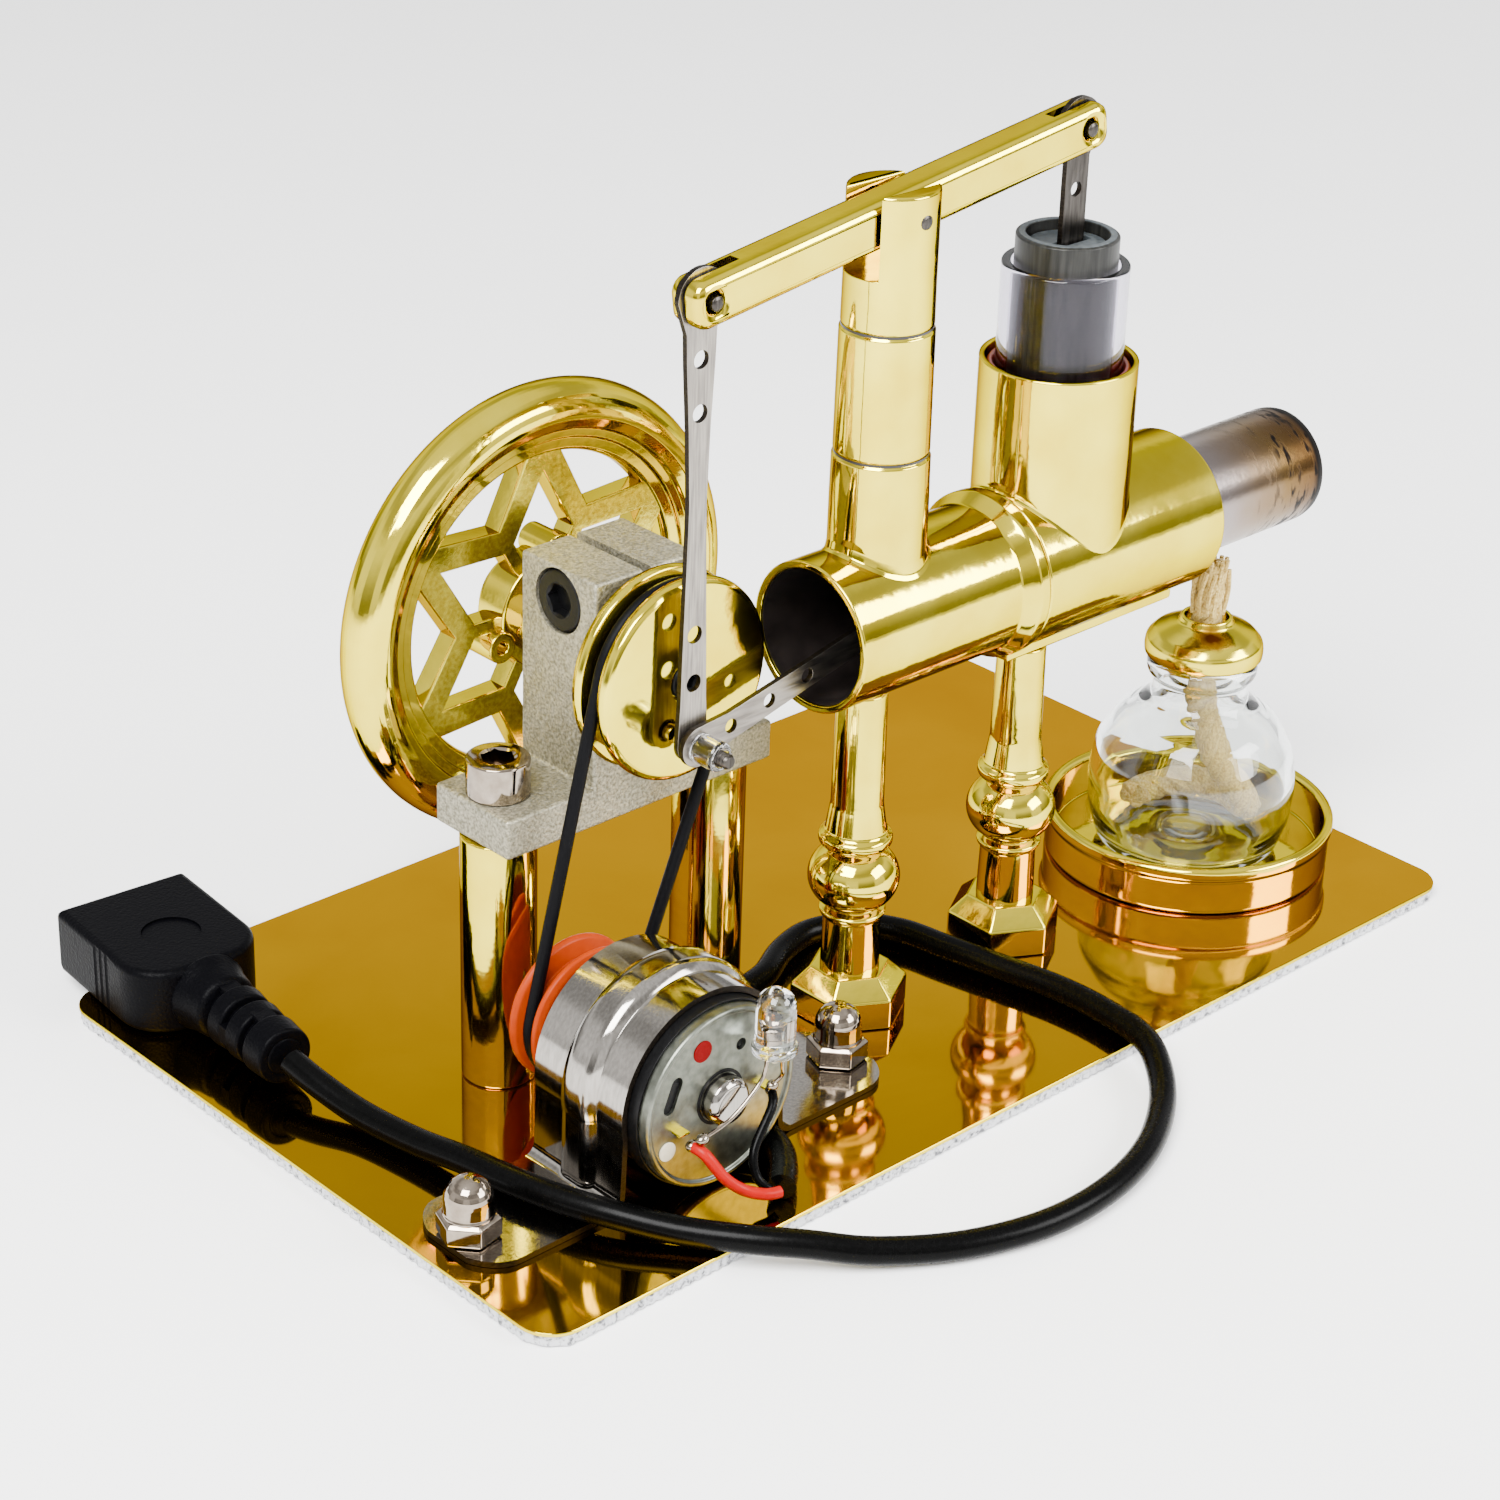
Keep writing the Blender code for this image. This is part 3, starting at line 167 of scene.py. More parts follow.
# %% [markdown]
# Mirror metal only looks like metal when it has something dark and something bright to reflect. A real
# product table does this with large soft boxes and dark cards. The surroundings here do it with bands, from
# the table up: a dim wall with a few bright windows, a bright band, a darker band, and a bright ceiling.
# Two soft boxes, one at the left and a weaker one at the front, add soft shadows.

# %% Surroundings
WALL_BANDS = ((0.14, 0.28), (0.26, 0.55), (0.42, 0.95), (0.50, 1.0), (0.59, 0.5), (0.72, 0.45), (0.84, 0.95))


def studio_surroundings():
    """Bands of light by height, where each of WALL_BANDS is a height and how bright it is."""
    world = bpy.data.worlds.new("studio")
    bpy.context.scene.world = world
    world.use_nodes = True
    tree = world.node_tree
    background = tree.nodes["Background"]
    direction = add(tree, "ShaderNodeTexCoord").outputs["Generated"]
    split = add(tree, "ShaderNodeSeparateXYZ", {"Vector": direction})
    height = add(tree, "ShaderNodeMapRange",
                 {"Value": split.outputs["Z"], "From Min": -0.05, "From Max": 1.0})
    ceiling = add(tree, "ShaderNodeValToRGB", {"Fac": height.outputs["Result"]})
    ramp = ceiling.color_ramp
    ramp.elements[0].color = (0.20, 0.20, 0.20, 1.0)
    ramp.elements[1].color = (1.0, 1.0, 1.0, 1.0)
    for position, brightness in WALL_BANDS:
        ramp.elements.new(position).color = (brightness, brightness, brightness, 1.0)
    turn = add(tree, "ShaderNodeMath", {0: split.outputs["Y"], 1: split.outputs["X"]}, operation="ARCTAN2")
    bands = add(tree, "ShaderNodeMath", {0: turn.outputs[0], 1: 5.0}, operation="MULTIPLY")
    shifted = add(tree, "ShaderNodeMath", {0: bands.outputs[0], 1: 1.1}, operation="ADD")
    wave = add(tree, "ShaderNodeMath", {0: shifted.outputs[0]}, operation="SINE")
    windows = add(tree, "ShaderNodeMapRange",
                  {"Value": wave.outputs[0], "From Min": 0.1, "From Max": 0.45})
    windows.interpolation_type = "SMOOTHSTEP"
    level = add(tree, "ShaderNodeMix", {"Factor": windows.outputs["Result"], "A": 0.0, "B": 0.75})
    low_only = add(tree, "ShaderNodeMapRange",
                   {"Value": split.outputs["Z"], "From Min": 0.45, "From Max": 0.15})
    glow = add(tree, "ShaderNodeMath", {0: level.outputs[0], 1: low_only.outputs["Result"]},
               operation="MULTIPLY")
    whole = add(tree, "ShaderNodeVectorMath", {0: ceiling.outputs["Color"], 1: glow.outputs[0]},
                operation="ADD")
    tree.links.new(whole.outputs[0], background.inputs["Color"])
    background.inputs["Strength"].default_value = 1.55


def soft_box(name, place, aim, size, watts):
    light = bpy.data.lights.new(name, "AREA")
    light.shape = "RECTANGLE"
    light.size, light.size_y = size
    light.energy = watts
    lamp = bpy.data.objects.new(name, light)
    lamp.location = place
    lamp.rotation_euler = (Vector(aim) - Vector(place)).to_track_quat("-Z", "Y").to_euler()
    bpy.context.scene.collection.objects.link(lamp)


studio_surroundings()
soft_box("key_soft_box", (-0.55, -0.25, 0.75), (0.0, 0.0, 0.04), (0.5, 0.5), 32.0)
soft_box("fill_soft_box", (0.45, -0.75, 0.55), (0.0, 0.0, 0.05), (0.6, 0.4), 19.0)

# %% [markdown]
# ## Finishes
#
# **Gold plated casting.** The castings are polished zinc with a thin bright plating. The plating copies
# the casting's skin, so it has a mirror gloss with the faint ripple called orange peel, and a trace of
# matt haze where polishing didn't reach. Metal keeps the default IOR, and its colour is its reflection.
# At a glancing angle this plating goes deep and brassy instead of white, which the metal's edge tint gives.

# %% Gold plating
BRASSY_EDGE = linear("#8E7A1E")


def gold_plating():
    material, tree, shader, place = new_finish("gold_plated_casting", Metallic=1.0,
                                               Specular_Tint=BRASSY_EDGE)
    haze = add(tree, "ShaderNodeTexNoise", {"Vector": place, "Scale": fine(9.0), "Detail": 4.0})
    tint = add(tree, "ShaderNodeValToRGB", {"Fac": haze.outputs["Fac"]})
    tint.color_ramp.elements[0].position = 0.3
    tint.color_ramp.elements[0].color = linear("#D2BA28")
    tint.color_ramp.elements[1].position = 0.7
    tint.color_ramp.elements[1].color = linear("#E2CF40")
    dull = add(tree, "ShaderNodeMapRange", {"Value": haze.outputs["Fac"], "To Min": 0.03, "To Max": 0.13})
    peel = add(tree, "ShaderNodeTexNoise", {"Vector": place, "Scale": fine(2.2), "Detail": 2.0})
    ripple = add(tree, "ShaderNodeBump",
                 {"Height": peel.outputs["Fac"], "Strength": 0.10, "Distance": 0.00022})
    tree.links.new(tint.outputs["Color"], shader.inputs["Base Color"])
    tree.links.new(dull.outputs["Result"], shader.inputs["Roughness"])
    tree.links.new(ripple.outputs["Normal"], shader.inputs["Normal"])
    return material


GOLD = gold_plating()
print("made", GOLD.name)

# %% [markdown]
# In the deep pockets between a cast wheel's spokes the mould leaves a sandy skin, and the plating over it
# glitters instead of mirroring. The same gold with a coarser bump and more roughness gives that. Real
# moulding sand is near 0.2 mm, too fine to show, so its grain is drawn at 0.55 mm.

# %% Gold over a sandy skin
def sandy_gold():
    material, tree, shader, place = new_finish("gold_over_sandy_skin", Metallic=1.0, Roughness=0.22,
                                               Specular_Tint=BRASSY_EDGE)
    grit = add(tree, "ShaderNodeTexNoise", {"Vector": place, "Scale": fine(0.55), "Detail": 3.0})
    tint = add(tree, "ShaderNodeValToRGB", {"Fac": grit.outputs["Fac"]})
    tint.color_ramp.elements[0].position = 0.35
    tint.color_ramp.elements[0].color = linear("#C6B232")
    tint.color_ramp.elements[1].position = 0.65
    tint.color_ramp.elements[1].color = linear("#E8DA50")
    bump = add(tree, "ShaderNodeBump",
               {"Height": grit.outputs["Fac"], "Strength": 0.25, "Distance": 0.00010})
    tree.links.new(tint.outputs["Color"], shader.inputs["Base Color"])
    tree.links.new(bump.outputs["Normal"], shader.inputs["Normal"])
    return material


SANDY_GOLD = sandy_gold()

# %% [markdown]
# **Amber mirror sheet.** The base plate's top is a thin sheet lacquered to a deep amber mirror. It is the
# most mirror-like surface here, so only very long, very shallow waves and a few hazy smears break it.

# %% Amber mirror sheet
def amber_mirror():
    material, tree, shader, place = new_finish("amber_mirror_sheet", Metallic=1.0,
                                               Specular_Tint=linear("#D8A800"))
    smear = add(tree, "ShaderNodeTexNoise",
                {"Vector": place, "Scale": fine(24.0), "Detail": 6.0, "Distortion": 0.6})
    tint = add(tree, "ShaderNodeValToRGB", {"Fac": smear.outputs["Fac"]})
    tint.color_ramp.elements[0].position = 0.3
    tint.color_ramp.elements[0].color = linear("#AE8400")
    tint.color_ramp.elements[1].position = 0.75
    tint.color_ramp.elements[1].color = linear("#B88E00")
    dull = add(tree, "ShaderNodeMapRange", {"Value": smear.outputs["Fac"], "To Min": 0.03, "To Max": 0.09})
    wave = add(tree, "ShaderNodeTexNoise", {"Vector": place, "Scale": fine(38.0), "Detail": 1.0})
    bow = add(tree, "ShaderNodeBump", {"Height": wave.outputs["Fac"], "Strength": 0.2, "Distance": 0.0006})
    tree.links.new(tint.outputs["Color"], shader.inputs["Base Color"])
    tree.links.new(dull.outputs["Result"], shader.inputs["Roughness"])
    tree.links.new(bow.outputs["Normal"], shader.inputs["Normal"])
    return material


AMBER = amber_mirror()
print("made", AMBER.name)

# %% [markdown]
# **Sheared edge.** Where the plate was sheared, the sheet's edge is bright metal and the board under it
# is torn: pale grey with dark specks. Both are thin, but they outline the whole plate.

# %% Plate edges
def torn_edge():
    material, tree, shader, place = new_finish("torn_board_edge", Roughness=0.85)
    fleck = add(tree, "ShaderNodeTexNoise",
                {"Vector": place, "Scale": fine(0.8), "Detail": 4.0, "Roughness": 0.7})
    tint = add(tree, "ShaderNodeValToRGB", {"Fac": fleck.outputs["Fac"]})
    tint.color_ramp.elements[0].position = 0.36
    tint.color_ramp.elements[0].color = linear("#4A4B4E")
    tint.color_ramp.elements[1].position = 0.52
    tint.color_ramp.elements[1].color = linear("#C4C5C8")
    bump = add(tree, "ShaderNodeBump",
               {"Height": fleck.outputs["Fac"], "Strength": 0.8, "Distance": 0.0003})
    tree.links.new(tint.outputs["Color"], shader.inputs["Base Color"])
    tree.links.new(bump.outputs["Normal"], shader.inputs["Normal"])
    return material


TORN_EDGE = torn_edge()

# %% [markdown]
# **Metals with a grain.** Brushed steel, polished nickel and drawn stainless differ in colour, in gloss
# and in the direction of their scratches. One function makes all of them: noise that is stretched along
# the brushing direction becomes fine lines, which change both the roughness and the height. Real brush
# lines are near 0.05 mm apart, so they are drawn several times coarser. The cut edges of strip are steel
# too, but dark and rough from shearing.

# %% Grained metals
def grained_metal(name, dark, light, roughness, line_mm, stretch, bump_strength):
    material, tree, shader, place = new_finish(name, Metallic=1.0)
    drawn = add(tree, "ShaderNodeMapping", {"Vector": place, "Scale": stretch})
    lines = add(tree, "ShaderNodeTexNoise",
                {"Vector": drawn.outputs[0], "Scale": fine(line_mm), "Detail": 5.0})
    tint = add(tree, "ShaderNodeValToRGB", {"Fac": lines.outputs["Fac"]})
    tint.color_ramp.elements[0].position = 0.3
    tint.color_ramp.elements[0].color = linear(dark)
    tint.color_ramp.elements[1].position = 0.7
    tint.color_ramp.elements[1].color = linear(light)
    low, high = roughness
    dull = add(tree, "ShaderNodeMapRange", {"Value": lines.outputs["Fac"], "To Min": low, "To Max": high})
    bump = add(tree, "ShaderNodeBump", {"Height": lines.outputs["Fac"], "Strength": bump_strength})
    bump.inputs["Distance"].default_value = 0.00005
    tree.links.new(tint.outputs["Color"], shader.inputs["Base Color"])
    tree.links.new(dull.outputs["Result"], shader.inputs["Roughness"])
    tree.links.new(bump.outputs["Normal"], shader.inputs["Normal"])
    return material


BRUSHED_STEEL = grained_metal("brushed_stainless_strip", "#6C6762", "#989289", (0.26, 0.44), 0.35,
                              (1.0, 1.0, 0.06), 0.5)
LINK_STEEL = grained_metal("brushed_stainless_link", "#625D58", "#8C867E", (0.26, 0.44), 0.35,
                           (0.06, 1.0, 0.5), 0.5)
SHEARED_EDGE = grained_metal("dark_sheared_edge", "#15120E", "#2E2822", (0.4, 0.6), 0.3,
                             (1.0, 0.2, 1.0), 0.6)
DARK_STEEL = grained_metal("dark_hardened_steel", "#2C2926", "#4A4642", (0.28, 0.42), 0.4,
                           (1.0, 1.0, 0.1), 0.4)
NICKEL = grained_metal("polished_nickel", "#7C7063", "#9A8E80", (0.04, 0.12), 1.5,
                       (1.0, 1.0, 1.0), 0.1)
POLISHED_STRAP = grained_metal("polished_stainless_strap", "#8A857E", "#A09B94", (0.06, 0.16), 0.4,
                               (1.0, 1.0, 0.03), 0.08)
ZINC = grained_metal("dull_zinc_plate", "#5C5F56", "#777A70", (0.30, 0.42), 1.2,
                     (1.0, 1.0, 1.0), 0.15)
METALS = (BRUSHED_STEEL, LINK_STEEL, SHEARED_EDGE, DARK_STEEL, NICKEL, POLISHED_STRAP, ZINC)
print("metals:", [metal.name for metal in METALS])

# %% [markdown]
# **Sand-blasted casting.** The bearing block was blasted with coarse grit, so every grain of its skin
# faces another way and some catch the light like frost. Two patterns, one for grain and one for glitter,
# drive height, colour and roughness together. The grit is about 0.2 mm, and it is drawn twice as coarse.

# %% Sand-blasted casting
def blasted_casting():
    material, tree, shader, place = new_finish("sand_blasted_casting", Metallic=0.85)
    grain = add(tree, "ShaderNodeTexNoise",
                {"Vector": place, "Scale": fine(0.42), "Detail": 3.0, "Roughness": 0.6})
    tint = add(tree, "ShaderNodeValToRGB", {"Fac": grain.outputs["Fac"]})
    tint.color_ramp.elements[0].position = 0.36
    tint.color_ramp.elements[0].color = linear("#716D5C")
    tint.color_ramp.elements[1].position = 0.64
    tint.color_ramp.elements[1].color = linear("#A8A38F")
    glitter = add(tree, "ShaderNodeTexVoronoi", {"Vector": place, "Scale": fine(0.45)})
    dull = add(tree, "ShaderNodeMapRange",
               {"Value": glitter.outputs["Distance"], "To Min": 0.36, "To Max": 0.7})
    bump = add(tree, "ShaderNodeBump",
               {"Height": grain.outputs["Fac"], "Strength": 0.9, "Distance": 0.00012})
    tree.links.new(tint.outputs["Color"], shader.inputs["Base Color"])
    tree.links.new(dull.outputs["Result"], shader.inputs["Roughness"])
    tree.links.new(bump.outputs["Normal"], shader.inputs["Normal"])
    return material


BLASTED = blasted_casting()

# %% [markdown]
# **Plastics and rubber.** Moulded plastic takes its gloss from its mould. PVC for cables is soft and
# slightly grainy, belt rubber is matt, and the pulley is bright orange polypropylene. All are ordinary
# dielectrics near IOR 1.5, so again one function serves: a tint, a grain size and a gloss. The blacks and
# the bright colours get a low specular level, because a fine grain scatters most of the white sheen away.

# %% Plastics and rubber
def moulded_plastic(name, dark, light, roughness, grain_mm, grain_strength, **extra):
    material, tree, shader, place = new_finish(name, IOR=1.5, **extra)
    grain = add(tree, "ShaderNodeTexNoise", {"Vector": place, "Scale": fine(grain_mm), "Detail": 3.0})
    tint = add(tree, "ShaderNodeValToRGB", {"Fac": grain.outputs["Fac"]})
    tint.color_ramp.elements[0].color = linear(dark)
    tint.color_ramp.elements[1].color = linear(light)
    low, high = roughness
    dull = add(tree, "ShaderNodeMapRange", {"Value": grain.outputs["Fac"], "To Min": low, "To Max": high})
    bump = add(tree, "ShaderNodeBump", {"Height": grain.outputs["Fac"], "Strength": grain_strength})
    bump.inputs["Distance"].default_value = 0.0001
    tree.links.new(tint.outputs["Color"], shader.inputs["Base Color"])
    tree.links.new(dull.outputs["Result"], shader.inputs["Roughness"])
    tree.links.new(bump.outputs["Normal"], shader.inputs["Normal"])
    return material


CABLE_PVC = moulded_plastic("black_cable_pvc", "#010101", "#040404", (0.22, 0.32), 0.6, 0.12,
                            Specular_IOR_Level=0.05)
SOCKET_PVC = moulded_plastic("grainy_black_moulding", "#010102", "#050507", (0.34, 0.46), 0.4, 0.8,
                             Specular_IOR_Level=0.03)
BELT_RUBBER = moulded_plastic("black_belt_rubber", "#020203", "#08080A", (0.4, 0.6), 0.5, 0.3,
                              Specular_IOR_Level=0.06)
BLACK_OXIDE = moulded_plastic("black_oxide_steel", "#030303", "#0C0C0D", (0.3, 0.45), 0.7, 0.3,
                              Specular_IOR_Level=0.12)
ORANGE = moulded_plastic("orange_polypropylene", "#842600", "#9A3200", (0.3, 0.42), 1.5, 0.15,
                         Specular_IOR_Level=0.08)
RED_INSULATION = moulded_plastic("red_wire_insulation", "#800000", "#9C0000", (0.3, 0.4), 1.0, 0.1,
                                 Specular_IOR_Level=0.1)
RED_SEAL = moulded_plastic("red_brown_silicone", "#4A1008", "#7C2414", (0.25, 0.4), 1.0, 0.2)
RED_DOT = moulded_plastic("red_marking_paint", "#520002", "#6A0004", (0.5, 0.6), 0.5, 0.3,
                          Specular_IOR_Level=0.05)
CREAM_INSULATOR = moulded_plastic("cream_terminal_insulator", "#B5AA90", "#CDC4AC", (0.5, 0.6), 0.5, 0.3)
# Near-black painted shade, for the inside of the front tube's bore and the bottoms of the column's grooves.
SHADE_BLACK = moulded_plastic("painted_shade_black", "#060505", "#1A1412", (0.25, 0.5), 3.0, 0.5)
WHITE_PLASTIC = moulded_plastic("white_contact_block", "#D8D8D4", "#E8E8E6", (0.35, 0.45), 1.0, 0.1)
CLEAR_SLEEVE = moulded_plastic("clear_plastic_sleeve", "#E6E6E6", "#F6F6F6", (0.04, 0.1), 0.8, 0.1,
                               Transmission_Weight=1.0)
print("plastics made")

# %% [markdown]
# **Graphite** is machined carbon: dark grey, softly shiny, with faint upright marks from sliding in its
# glass. **Heat-tinted steel** tells where the flame plays: lilac grey steel far from it, then straw and
# brown oxide, with dark flakes that run round the cap, then a black burnt rim. The tint follows the cap's
# own length, so it stays put.

# %% Graphite and heat-tinted steel
def graphite(name, dark, light):
    material, tree, shader, place = new_finish(name, Metallic=0.3, Specular_IOR_Level=0.2)
    upright = add(tree, "ShaderNodeMapping", {"Vector": place, "Scale": (1.0, 1.0, 0.08)})
    marks = add(tree, "ShaderNodeTexNoise", {"Vector": upright.outputs[0], "Scale": fine(0.8), "Detail": 4.0})
    tint = add(tree, "ShaderNodeValToRGB", {"Fac": marks.outputs["Fac"]})
    tint.color_ramp.elements[0].position = 0.3
    tint.color_ramp.elements[0].color = linear(dark)
    tint.color_ramp.elements[1].position = 0.7
    tint.color_ramp.elements[1].color = linear(light)
    dull = add(tree, "ShaderNodeMapRange", {"Value": marks.outputs["Fac"], "To Min": 0.32, "To Max": 0.5})
    tree.links.new(tint.outputs["Color"], shader.inputs["Base Color"])
    tree.links.new(dull.outputs["Result"], shader.inputs["Roughness"])
    return material


def heat_tinted_steel(cool_x, burnt_x):
    """Steel that is clean at one place along X, in metres, and burnt at another."""
    material, tree, shader, place = new_finish("heat_tinted_steel", Metallic=1.0)
    split = add(tree, "ShaderNodeSeparateXYZ", {"Vector": place})
    along = add(tree, "ShaderNodeMapRange", {"Value": split.outputs["X"]})
    along.inputs["From Min"].default_value = cool_x
    along.inputs["From Max"].default_value = burnt_x
    cloud = add(tree, "ShaderNodeTexNoise", {"Vector": place, "Scale": fine(6.0), "Detail": 4.0})
    swing = add(tree, "ShaderNodeMapRange", {"Value": cloud.outputs["Fac"], "To Min": -0.10, "To Max": 0.10})
    heat = add(tree, "ShaderNodeMath", {0: along.outputs[0], 1: swing.outputs[0]}, operation="ADD")
    tint = add(tree, "ShaderNodeValToRGB", {"Fac": heat.outputs[0]})
    ramp = tint.color_ramp
    ramp.elements[0].color = linear("#8F8686")
    ramp.elements[1].color = linear("#3A2614")
    for position, colour in ((0.38, "#8A807D"), (0.56, "#7D6A56"), (0.70, "#6E5632"), (0.86, "#5E4424")):
        ramp.elements.new(position).color = linear(colour)
    around = add(tree, "ShaderNodeMapping", {"Vector": place, "Scale": (1.0, 0.30, 0.30)})
    flake = add(tree, "ShaderNodeTexNoise",
                {"Vector": around.outputs[0], "Scale": fine(1.1), "Detail": 5.0})
    streak = add(tree, "ShaderNodeMapRange",
                 {"Value": flake.outputs["Fac"], "From Min": 0.51, "From Max": 0.62})
    zone = add(tree, "ShaderNodeValToRGB", {"Fac": heat.outputs[0]})
    zone.color_ramp.elements[0].position = 0.55
    zone.color_ramp.elements[1].position = 0.72
    flaked = add(tree, "ShaderNodeMath", {0: streak.outputs[0], 1: zone.outputs["Color"]},
                 operation="MULTIPLY")
    rim = add(tree, "ShaderNodeMapRange",
              {"Value": along.outputs[0], "From Min": 0.875, "From Max": 0.905})
    black = add(tree, "ShaderNodeMath", {0: flaked.outputs[0], 1: rim.outputs[0]}, operation="MAXIMUM")
    whole = add(tree, "ShaderNodeMix", {"Factor": black.outputs[0]}, data_type="RGBA")
    tree.links.new(tint.outputs["Color"], whole.inputs["A"])
    whole.inputs["B"].default_value = linear("#100C0A")
    scale = add(tree, "ShaderNodeTexNoise", {"Vector": place, "Scale": fine(0.9), "Detail": 4.0})
    burnt = add(tree, "ShaderNodeMapRange", {"Value": black.outputs[0], "To Min": 0.22, "To Max": 0.55})
    bump = add(tree, "ShaderNodeBump",
               {"Height": scale.outputs["Fac"], "Strength": 0.2, "Distance": 0.0001})
    tree.links.new(whole.outputs["Result"], shader.inputs["Base Color"])
    tree.links.new(burnt.outputs["Result"], shader.inputs["Roughness"])
    tree.links.new(bump.outputs["Normal"], shader.inputs["Normal"])
    return material


GRAPHITE = graphite("machined_graphite", "#161615", "#30302E")
GREY_INSERT = graphite("grey_piston_insert", "#353A3D", "#4E5457")
HOT_STEEL = heat_tinted_steel(0.040, 0.0785)
print("made", GRAPHITE.name, "and", HOT_STEEL.name)

# %% [markdown]
# **Glass, epoxy and cotton.** Blown bottle glass is clear, with IOR 1.5 and gentle waves. The drawn tube
# is smooth, and its cut wall looks faintly lilac. It holds the piston with a gap far thinner than drawn
# here, so it gets a lower IOR, which keeps the piston from looking as wide as the tube. The lamp's epoxy is
# like the bottle's glass with a slightly higher IOR. The wick is spun cotton: cream, matt, with a trace of
# sheen from loose fibre. Its fibres are far finer than the 0.35 mm that they are drawn at.

# %% Glass, epoxy and cotton
def clear_body(name, colour, ior, roughness, wave_mm, wave_strength):
    material, tree, shader, place = new_finish(name, IOR=ior, Roughness=roughness, Transmission_Weight=1.0)
    shader.inputs["Base Color"].default_value = linear(colour)
    wave = add(tree, "ShaderNodeTexNoise", {"Vector": place, "Scale": fine(wave_mm), "Detail": 1.0})
    bump = add(tree, "ShaderNodeBump", {"Height": wave.outputs["Fac"], "Strength": wave_strength})
    bump.inputs["Distance"].default_value = 0.0003
    tree.links.new(bump.outputs["Normal"], shader.inputs["Normal"])
    return material


def cotton():
    material, tree, shader, place = new_finish("spun_cotton", Roughness=0.95, Sheen_Weight=0.15)
    fibre = add(tree, "ShaderNodeTexNoise", {"Vector": place, "Scale": fine(0.35), "Detail": 5.0})
    tint = add(tree, "ShaderNodeValToRGB", {"Fac": fibre.outputs["Fac"]})
    tint.color_ramp.elements[0].position = 0.3
    tint.color_ramp.elements[0].color = linear("#9A7A30")
    tint.color_ramp.elements[1].position = 0.7
    tint.color_ramp.elements[1].color = linear("#D6BE74")
    bump = add(tree, "ShaderNodeBump",
               {"Height": fibre.outputs["Fac"], "Strength": 0.7, "Distance": 0.0002})
    tree.links.new(tint.outputs["Color"], shader.inputs["Base Color"])
    tree.links.new(bump.outputs["Normal"], shader.inputs["Normal"])
    return material


DRAWN_GLASS = clear_body("drawn_glass_tube", "#D4D0DE", 1.27, 0.0, 30.0, 0.05)
BLOWN_GLASS = clear_body("blown_glass", "#FAFDFC", 1.5, 0.0, 7.0, 0.25)
LAMP_EPOXY = clear_body("clear_lamp_epoxy", "#F6F8F9", 1.52, 0.04, 3.0, 0.1)
COTTON = cotton()
print("clear:", DRAWN_GLASS.name, BLOWN_GLASS.name, LAMP_EPOXY.name)

# %% [markdown]
# ## Shape helpers
#
# Most of the engine was turned on a lathe, cut from sheet, or drawn as wire, so three helpers make almost
# everything: one turns a profile about an axis, one cuts a plate with holes and rounds its edges, and one
# sweeps a round section along a line. All work in millimetres and return a shape without a finish.
#
# No real edge is perfectly sharp, and a rounded one catches a thin line of light. The turning helper
# therefore rounds each corner of its profile with a small curve before turning it.

# %% Turning
def round_corners(profile, radius, closed):
    """Replace each corner of a profile by a small curve."""
    count = len(profile)
    softened = []
    for k, corner in enumerate(profile):
        if not closed and k in (0, count - 1):
            softened.append(Vector(corner))
            continue
        here = Vector(corner)
        before = Vector(profile[k - 1]) - here
        after = Vector(profile[(k + 1) % count]) - here
        start = here + before.normalized() * min(radius, 0.45 * before.length)
        end = here + after.normalized() * min(radius, 0.45 * after.length)
        for t in (0.0, 0.25, 0.5, 0.75, 1.0):
            softened.append((1 - t) ** 2 * start + 2 * t * (1 - t) * here + t * t * end)
    return softened


def at_axis(a, b, height, centre, axis):
    """Place a turned point: height runs along the axis, a and b across it."""
    x, y, z = centre
    if axis == "X":
        return (x + height, y + a, z + b)
    if axis == "Y":
        return (x + a, y + height, z + b)
    return (x + a, y + b, z + height)


def turn(profile, centre, axis="Z", steps=96, soft=0.3, ring=False, start=0.0):
    """Turn a profile of (radius, height) about an axis."""
    shape = bmesh.new()
    points = round_corners(profile, soft, ring) if soft else [Vector(p) for p in profile]
    rows = []
    for radius, height in points:
        if radius < 1e-6:
            rows.append([shape.verts.new(at_axis(0.0, 0.0, height, centre, axis))] * steps)
            continue
        turns = [start + 2.0 * math.pi * k / steps for k in range(steps)]
        places = [at_axis(radius * math.cos(t), radius * math.sin(t), height, centre, axis) for t in turns]
        rows.append([shape.verts.new(place) for place in places])
    for low, high in zip(rows, rows[1:] + ([rows[0]] if ring else [])):
        for k in range(steps):
            corners = list(dict.fromkeys([low[k], low[(k + 1) % steps], high[(k + 1) % steps], high[k]]))
            if len(corners) > 2:
                shape.faces.new(corners)
    bmesh.ops.recalc_face_normals(shape, faces=shape.faces)
    return shape


# %% [markdown]
# A flat filled curve is the quickest way to a plate: it takes any outline with any holes, its thickness is
# a setting, and its own bevel rounds the edges. It is turned into mesh straight away. The same trick with
# a round bevel on a line gives wires, rods, belts and cable.

# %% Plates and wires
def mesh_of_curve(curve):
    """Turn curve data into a shape, and remove the curve."""
    holder = bpy.data.objects.new("curve_holder", curve)
    bpy.context.scene.collection.objects.link(holder)
    graph = bpy.context.evaluated_depsgraph_get()
    made = holder.evaluated_get(graph).to_mesh()
    shape = bmesh.new()
    shape.from_mesh(made)
    bpy.data.objects.remove(holder, do_unlink=True)
    bpy.data.curves.remove(curve)
    bmesh.ops.remove_doubles(shape, verts=shape.verts, dist=1e-4)
    return shape


def add_loop(curve, points, closed):
    spline = curve.splines.new("POLY")
    spline.points.add(len(points) - 1)
    for slot, point in zip(spline.points, points):
        slot.co = (*point, *([0.0] * (3 - len(point))), 1.0)
    spline.use_cyclic_u = closed
    spline.use_smooth = True


